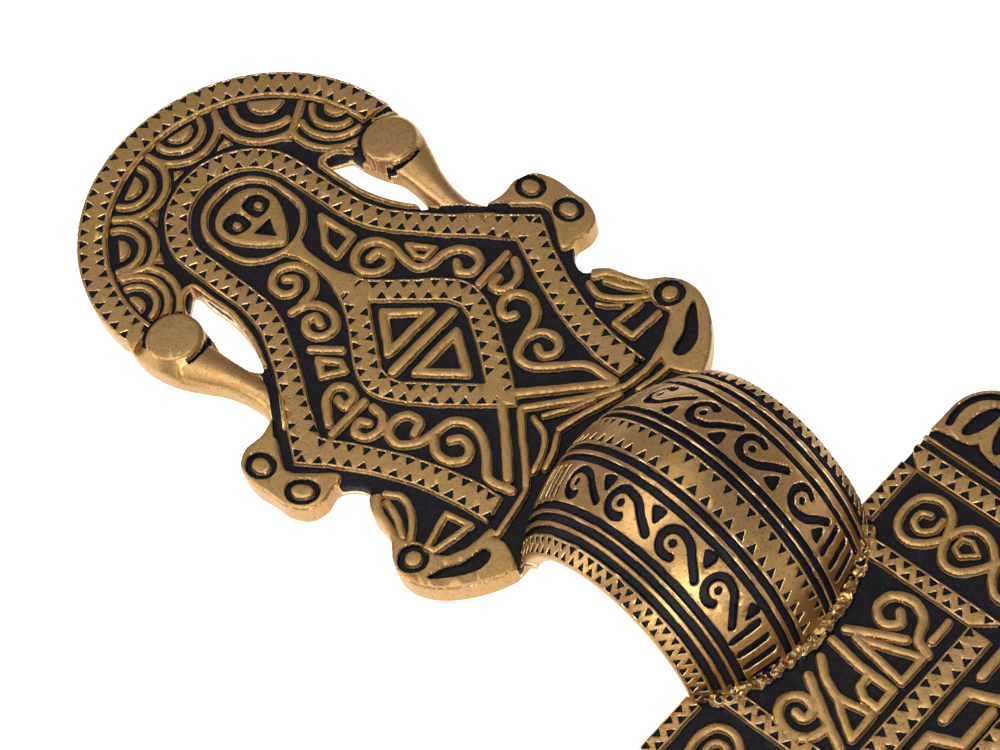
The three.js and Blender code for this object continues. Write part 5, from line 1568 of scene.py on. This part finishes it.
@dataclass(frozen=True)
class CastBronze(Skinned):
    """Bronze that is black in the ground and worn bright along the ridges' edges, where the bright colour is
    also a painted highlight.
    """

    name: str = "cast_bronze_dressed"
    gold: Colour = (0.42, 0.255, 0.088, 1)
    copper: Colour = (0.43, 0.245, 0.105, 1)
    dull: Colour = (0.25, 0.145, 0.06, 1)
    # worn metal on the ridges' edges, lightened into a painted highlight
    wear_and_highlight: Colour = (0.86, 0.62, 0.33, 1)
    ground: Colour = (0.0035, 0.004, 0.007, 1)
    smudge: Colour = (0.014, 0.012, 0.012, 1)
    specular: float = 0.12
    raggedness: float = 0.35

    def material(self, skin: bpy.types.NodeTree) -> bpy.types.Material:
        """Builds the material, which reads the "patina" attribute."""
        material, shader, grain = self.start(skin)
        tree = material.node_tree
        fine, cloud = grain.outputs["Fine"], grain.outputs["Cloud"]
        patina_and_painted_shade = tree.nodes.new("ShaderNodeAttribute")
        patina_and_painted_shade.attribute_name = "patina_and_painted_shade"
        ragged = computed(tree, "MULTIPLY_ADD", fine, self.raggedness, patina_and_painted_shade.outputs["Fac"])
        dark = ramp(tree, ragged, ((0.5, BLACK), (0.68, WHITE)))
        # painted highlight, partly real wear: where the darkness is faint, along each ridge's shoulder, the
        # colour turns bright
        edge = ramp(tree, ragged, ((0.34, BLACK), (0.44, WHITE)))
        speck = ramp(tree, fine, ((0.3, WHITE), (0.46, BLACK)))
        metal = ramp(tree, cloud, ((0.35, self.gold), (0.68, self.copper)))
        ground = ramp(tree, fine, ((0.45, self.ground), (0.8, self.smudge)))
        worn = mixed(tree, speck, metal, self.dull)
        bright = mixed(tree, edge, worn, self.wear_and_highlight)
        feed(tree, mixed(tree, dark, bright, ground), shader.inputs["Base Color"])
        feed(tree, spread(tree, dark, 1.0, 0.0), shader.inputs["Metallic"])
        feed(tree, spread(tree, dark, 0.4, 0.5), shader.inputs["Roughness"])
        shader.inputs["Specular IOR Level"].default_value = self.specular
        return material


@dataclass(frozen=True)
class DrawnBronze(Skinned):
    """Bronze wire and rod, filed and polished."""

    name: str = "drawn_bronze_dressed"
    bump: float = 0.2
    bump_height: float = 0.00004
    colour: Colour = (0.68, 0.46, 0.2, 1)
    dull: Colour = (0.4, 0.26, 0.12, 1)

    def material(self, skin: bpy.types.NodeTree) -> bpy.types.Material:
        """Builds the material."""
        material, shader, grain = self.start(skin)
        tree = material.node_tree
        cloud = grain.outputs["Cloud"]
        feed(tree, ramp(tree, cloud, ((0.4, self.colour), (0.75, self.dull))), shader.inputs["Base Color"])
        feed(tree, spread(tree, cloud, 0.22, 0.4), shader.inputs["Roughness"])
        shader.inputs["Metallic"].default_value = 1.0
        return material


@dataclass(frozen=True)
class PaleFloor:
    """A plain white studio floor."""

    name: str = "studio_floor"
    colour: Colour = (0.9, 0.9, 0.9, 1)

    def material(self) -> bpy.types.Material:
        """Builds the material."""
        material = bpy.data.materials.new(self.name)
        material.use_nodes = True
        shader = material.node_tree.nodes["Principled BSDF"]
        shader.inputs["Base Color"].default_value = self.colour
        shader.inputs["Roughness"].default_value = 0.9
        shader.inputs["Emission Color"].default_value = WHITE
        shader.inputs["Emission Strength"].default_value = 0.85
        return material


def dress(piece: bpy.types.Object, material: bpy.types.Material) -> None:
    """Gives a piece one material."""
    piece.data.materials.clear()
    piece.data.materials.append(material)


# ---- Studio ---------------------------------------------------------------------------------------------


@dataclass
class Studio:
    """Floor, lights and camera."""

    placement: Placement
    camera_at: tuple[float, float, float] = (124.7, 208.8, 346.8)
    camera_right: tuple[float, float, float] = (-0.6659, 0.7281, -0.1627)
    camera_down: tuple[float, float, float] = (0.6814, 0.5048, -0.5299)
    lens: float = 122.92
    floor_size: float = 3.0
    floor_drop: float = 0.0002
    surroundings: float = 0.42
    lights: tuple[tuple[str, tuple[float, float, float], float, float], ...] = (
        ("top", (0.2, -0.15, 0.95), 0.7, 5.0), ("head_side", (0.45, 0.75, 0.45), 0.4, 6.0),
        ("foot_side", (0.7, -0.5, 0.4), 0.4, 3.0))

    def build(self) -> None:
        """Builds all three."""
        self.add_camera()
        self.add_floor()
        self.add_lights()

    def add_camera(self) -> None:
        """Adds the camera and makes it the scene's."""
        right, down = Vector(self.camera_right).normalized(), Vector(self.camera_down).normalized()
        back = right.cross(-down).normalized()
        up = back.cross(right).normalized()
        at = Vector(self.placement.metres(np.array([self.camera_at]))[0])
        data = bpy.data.cameras.new("camera")
        data.lens = self.lens
        data.sensor_width = 36.0
        data.clip_start = 0.01
        camera = bpy.data.objects.new("camera", data)
        turn = Matrix((right, up, back)).transposed()
        camera.matrix_world = Matrix.Translation(at) @ turn.to_4x4()
        bpy.context.scene.collection.objects.link(camera)
        bpy.context.scene.camera = camera

    def add_floor(self) -> None:
        """Adds the floor just under the level that the brooch rests on."""
        deselect()
        bpy.ops.mesh.primitive_plane_add(size=self.floor_size, location=(0, 0, -self.floor_drop))
        floor = bpy.context.object
        floor.name = "floor"
        dress(floor, PaleFloor().material())

    def add_lights(self) -> None:
        """Adds the pale surroundings and three soft boxes."""
        world = bpy.data.worlds.new("studio")
        world.use_nodes = True
        background = world.node_tree.nodes["Background"]
        background.inputs["Color"].default_value = WHITE
        background.inputs["Strength"].default_value = self.surroundings
        bpy.context.scene.world = world
        bpy.context.scene.view_settings.view_transform = "Standard"
        for name, place, size, power in self.lights:
            self.soft_box(name, place, size, power)

    @staticmethod
    def soft_box(name: str, place: tuple[float, float, float], size: float, power: float) -> None:
        """Adds one square soft light that faces the brooch, with its place and size in metres."""
        data = bpy.data.lights.new(name, "AREA")
        data.size = size
        data.energy = power
        light = bpy.data.objects.new(name, data)
        light.rotation_euler = (-Vector(place)).to_track_quat("-Z", "Y").to_euler()
        light.location = place
        bpy.context.scene.collection.objects.link(light)


# ---- The brooch -----------------------------------------------------------------------------------------


def build_casting(placement: Placement) -> bpy.types.Object:
    """Carves and joins foot, bow, head and fittings into the one casting.

    Args:
        placement: Carries drawing millimetres into the frame.

    Returns:
        The finished casting.
    """
    foot, bow, head = FootPlate(), Bow(), HeadPlate()
    shaper = Casting(placement)
    casting = shaper.solid("brooch_casting_dressed", foot.carve(), -foot.thickness, foot,
                           foot.triangles, 0.0)
    buried = 0.9
    strap_sheet = bow.carve(-foot.thickness + buried, head.level - head.thickness + buried)
    strap = shaper.solid("strap", strap_sheet, -bow.wall, bow, bow.triangles, 1.2)
    joint = bow.junction(head.level - 0.3, 14.6, 1)[:, :2]
    panel = shaper.solid("panel", head.carve(joint), -head.thickness, head, head.triangles, 0.0)
    for other in [strap, panel] + BackFittings().solids(placement):
        unite(casting, other)
    fill_missing_patina(casting)
    smooth_by_angle(casting, 28)
    apply_modifier(casting, "WEIGHTED_NORMAL", keep_sharp=True, weight=60)
    return casting


def main() -> None:
    """Builds every piece, dresses it and sets the studio."""
    logging.basicConfig(level=logging.INFO, format="%(name)s: %(message)s")
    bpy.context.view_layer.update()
    placement = Placement.from_frame(FootPlate().foot_end, BackFittings().rest)
    Studio(placement).build()
    skin = grain_group()
    cast, drawn = CastBronze().material(skin), DrawnBronze().material(skin)
    casting = build_casting(placement)
    rod, pin = PinSet().dressed(placement)
    for piece, material, body, node, slot in (
            (casting, cast, "brooch", "brooch_casting", "cast_bronze"),
            (rod, drawn, "brooch", "axle_rod", "drawn_bronze"),
            (pin, drawn, "pin", "pin", "drawn_bronze")):
        dress(piece, material)
        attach(piece, body)
        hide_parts(node)
        LOG.info("%s: %d faces", piece.name, len(piece.data.polygons))


if __name__ == "__main__":
    main()
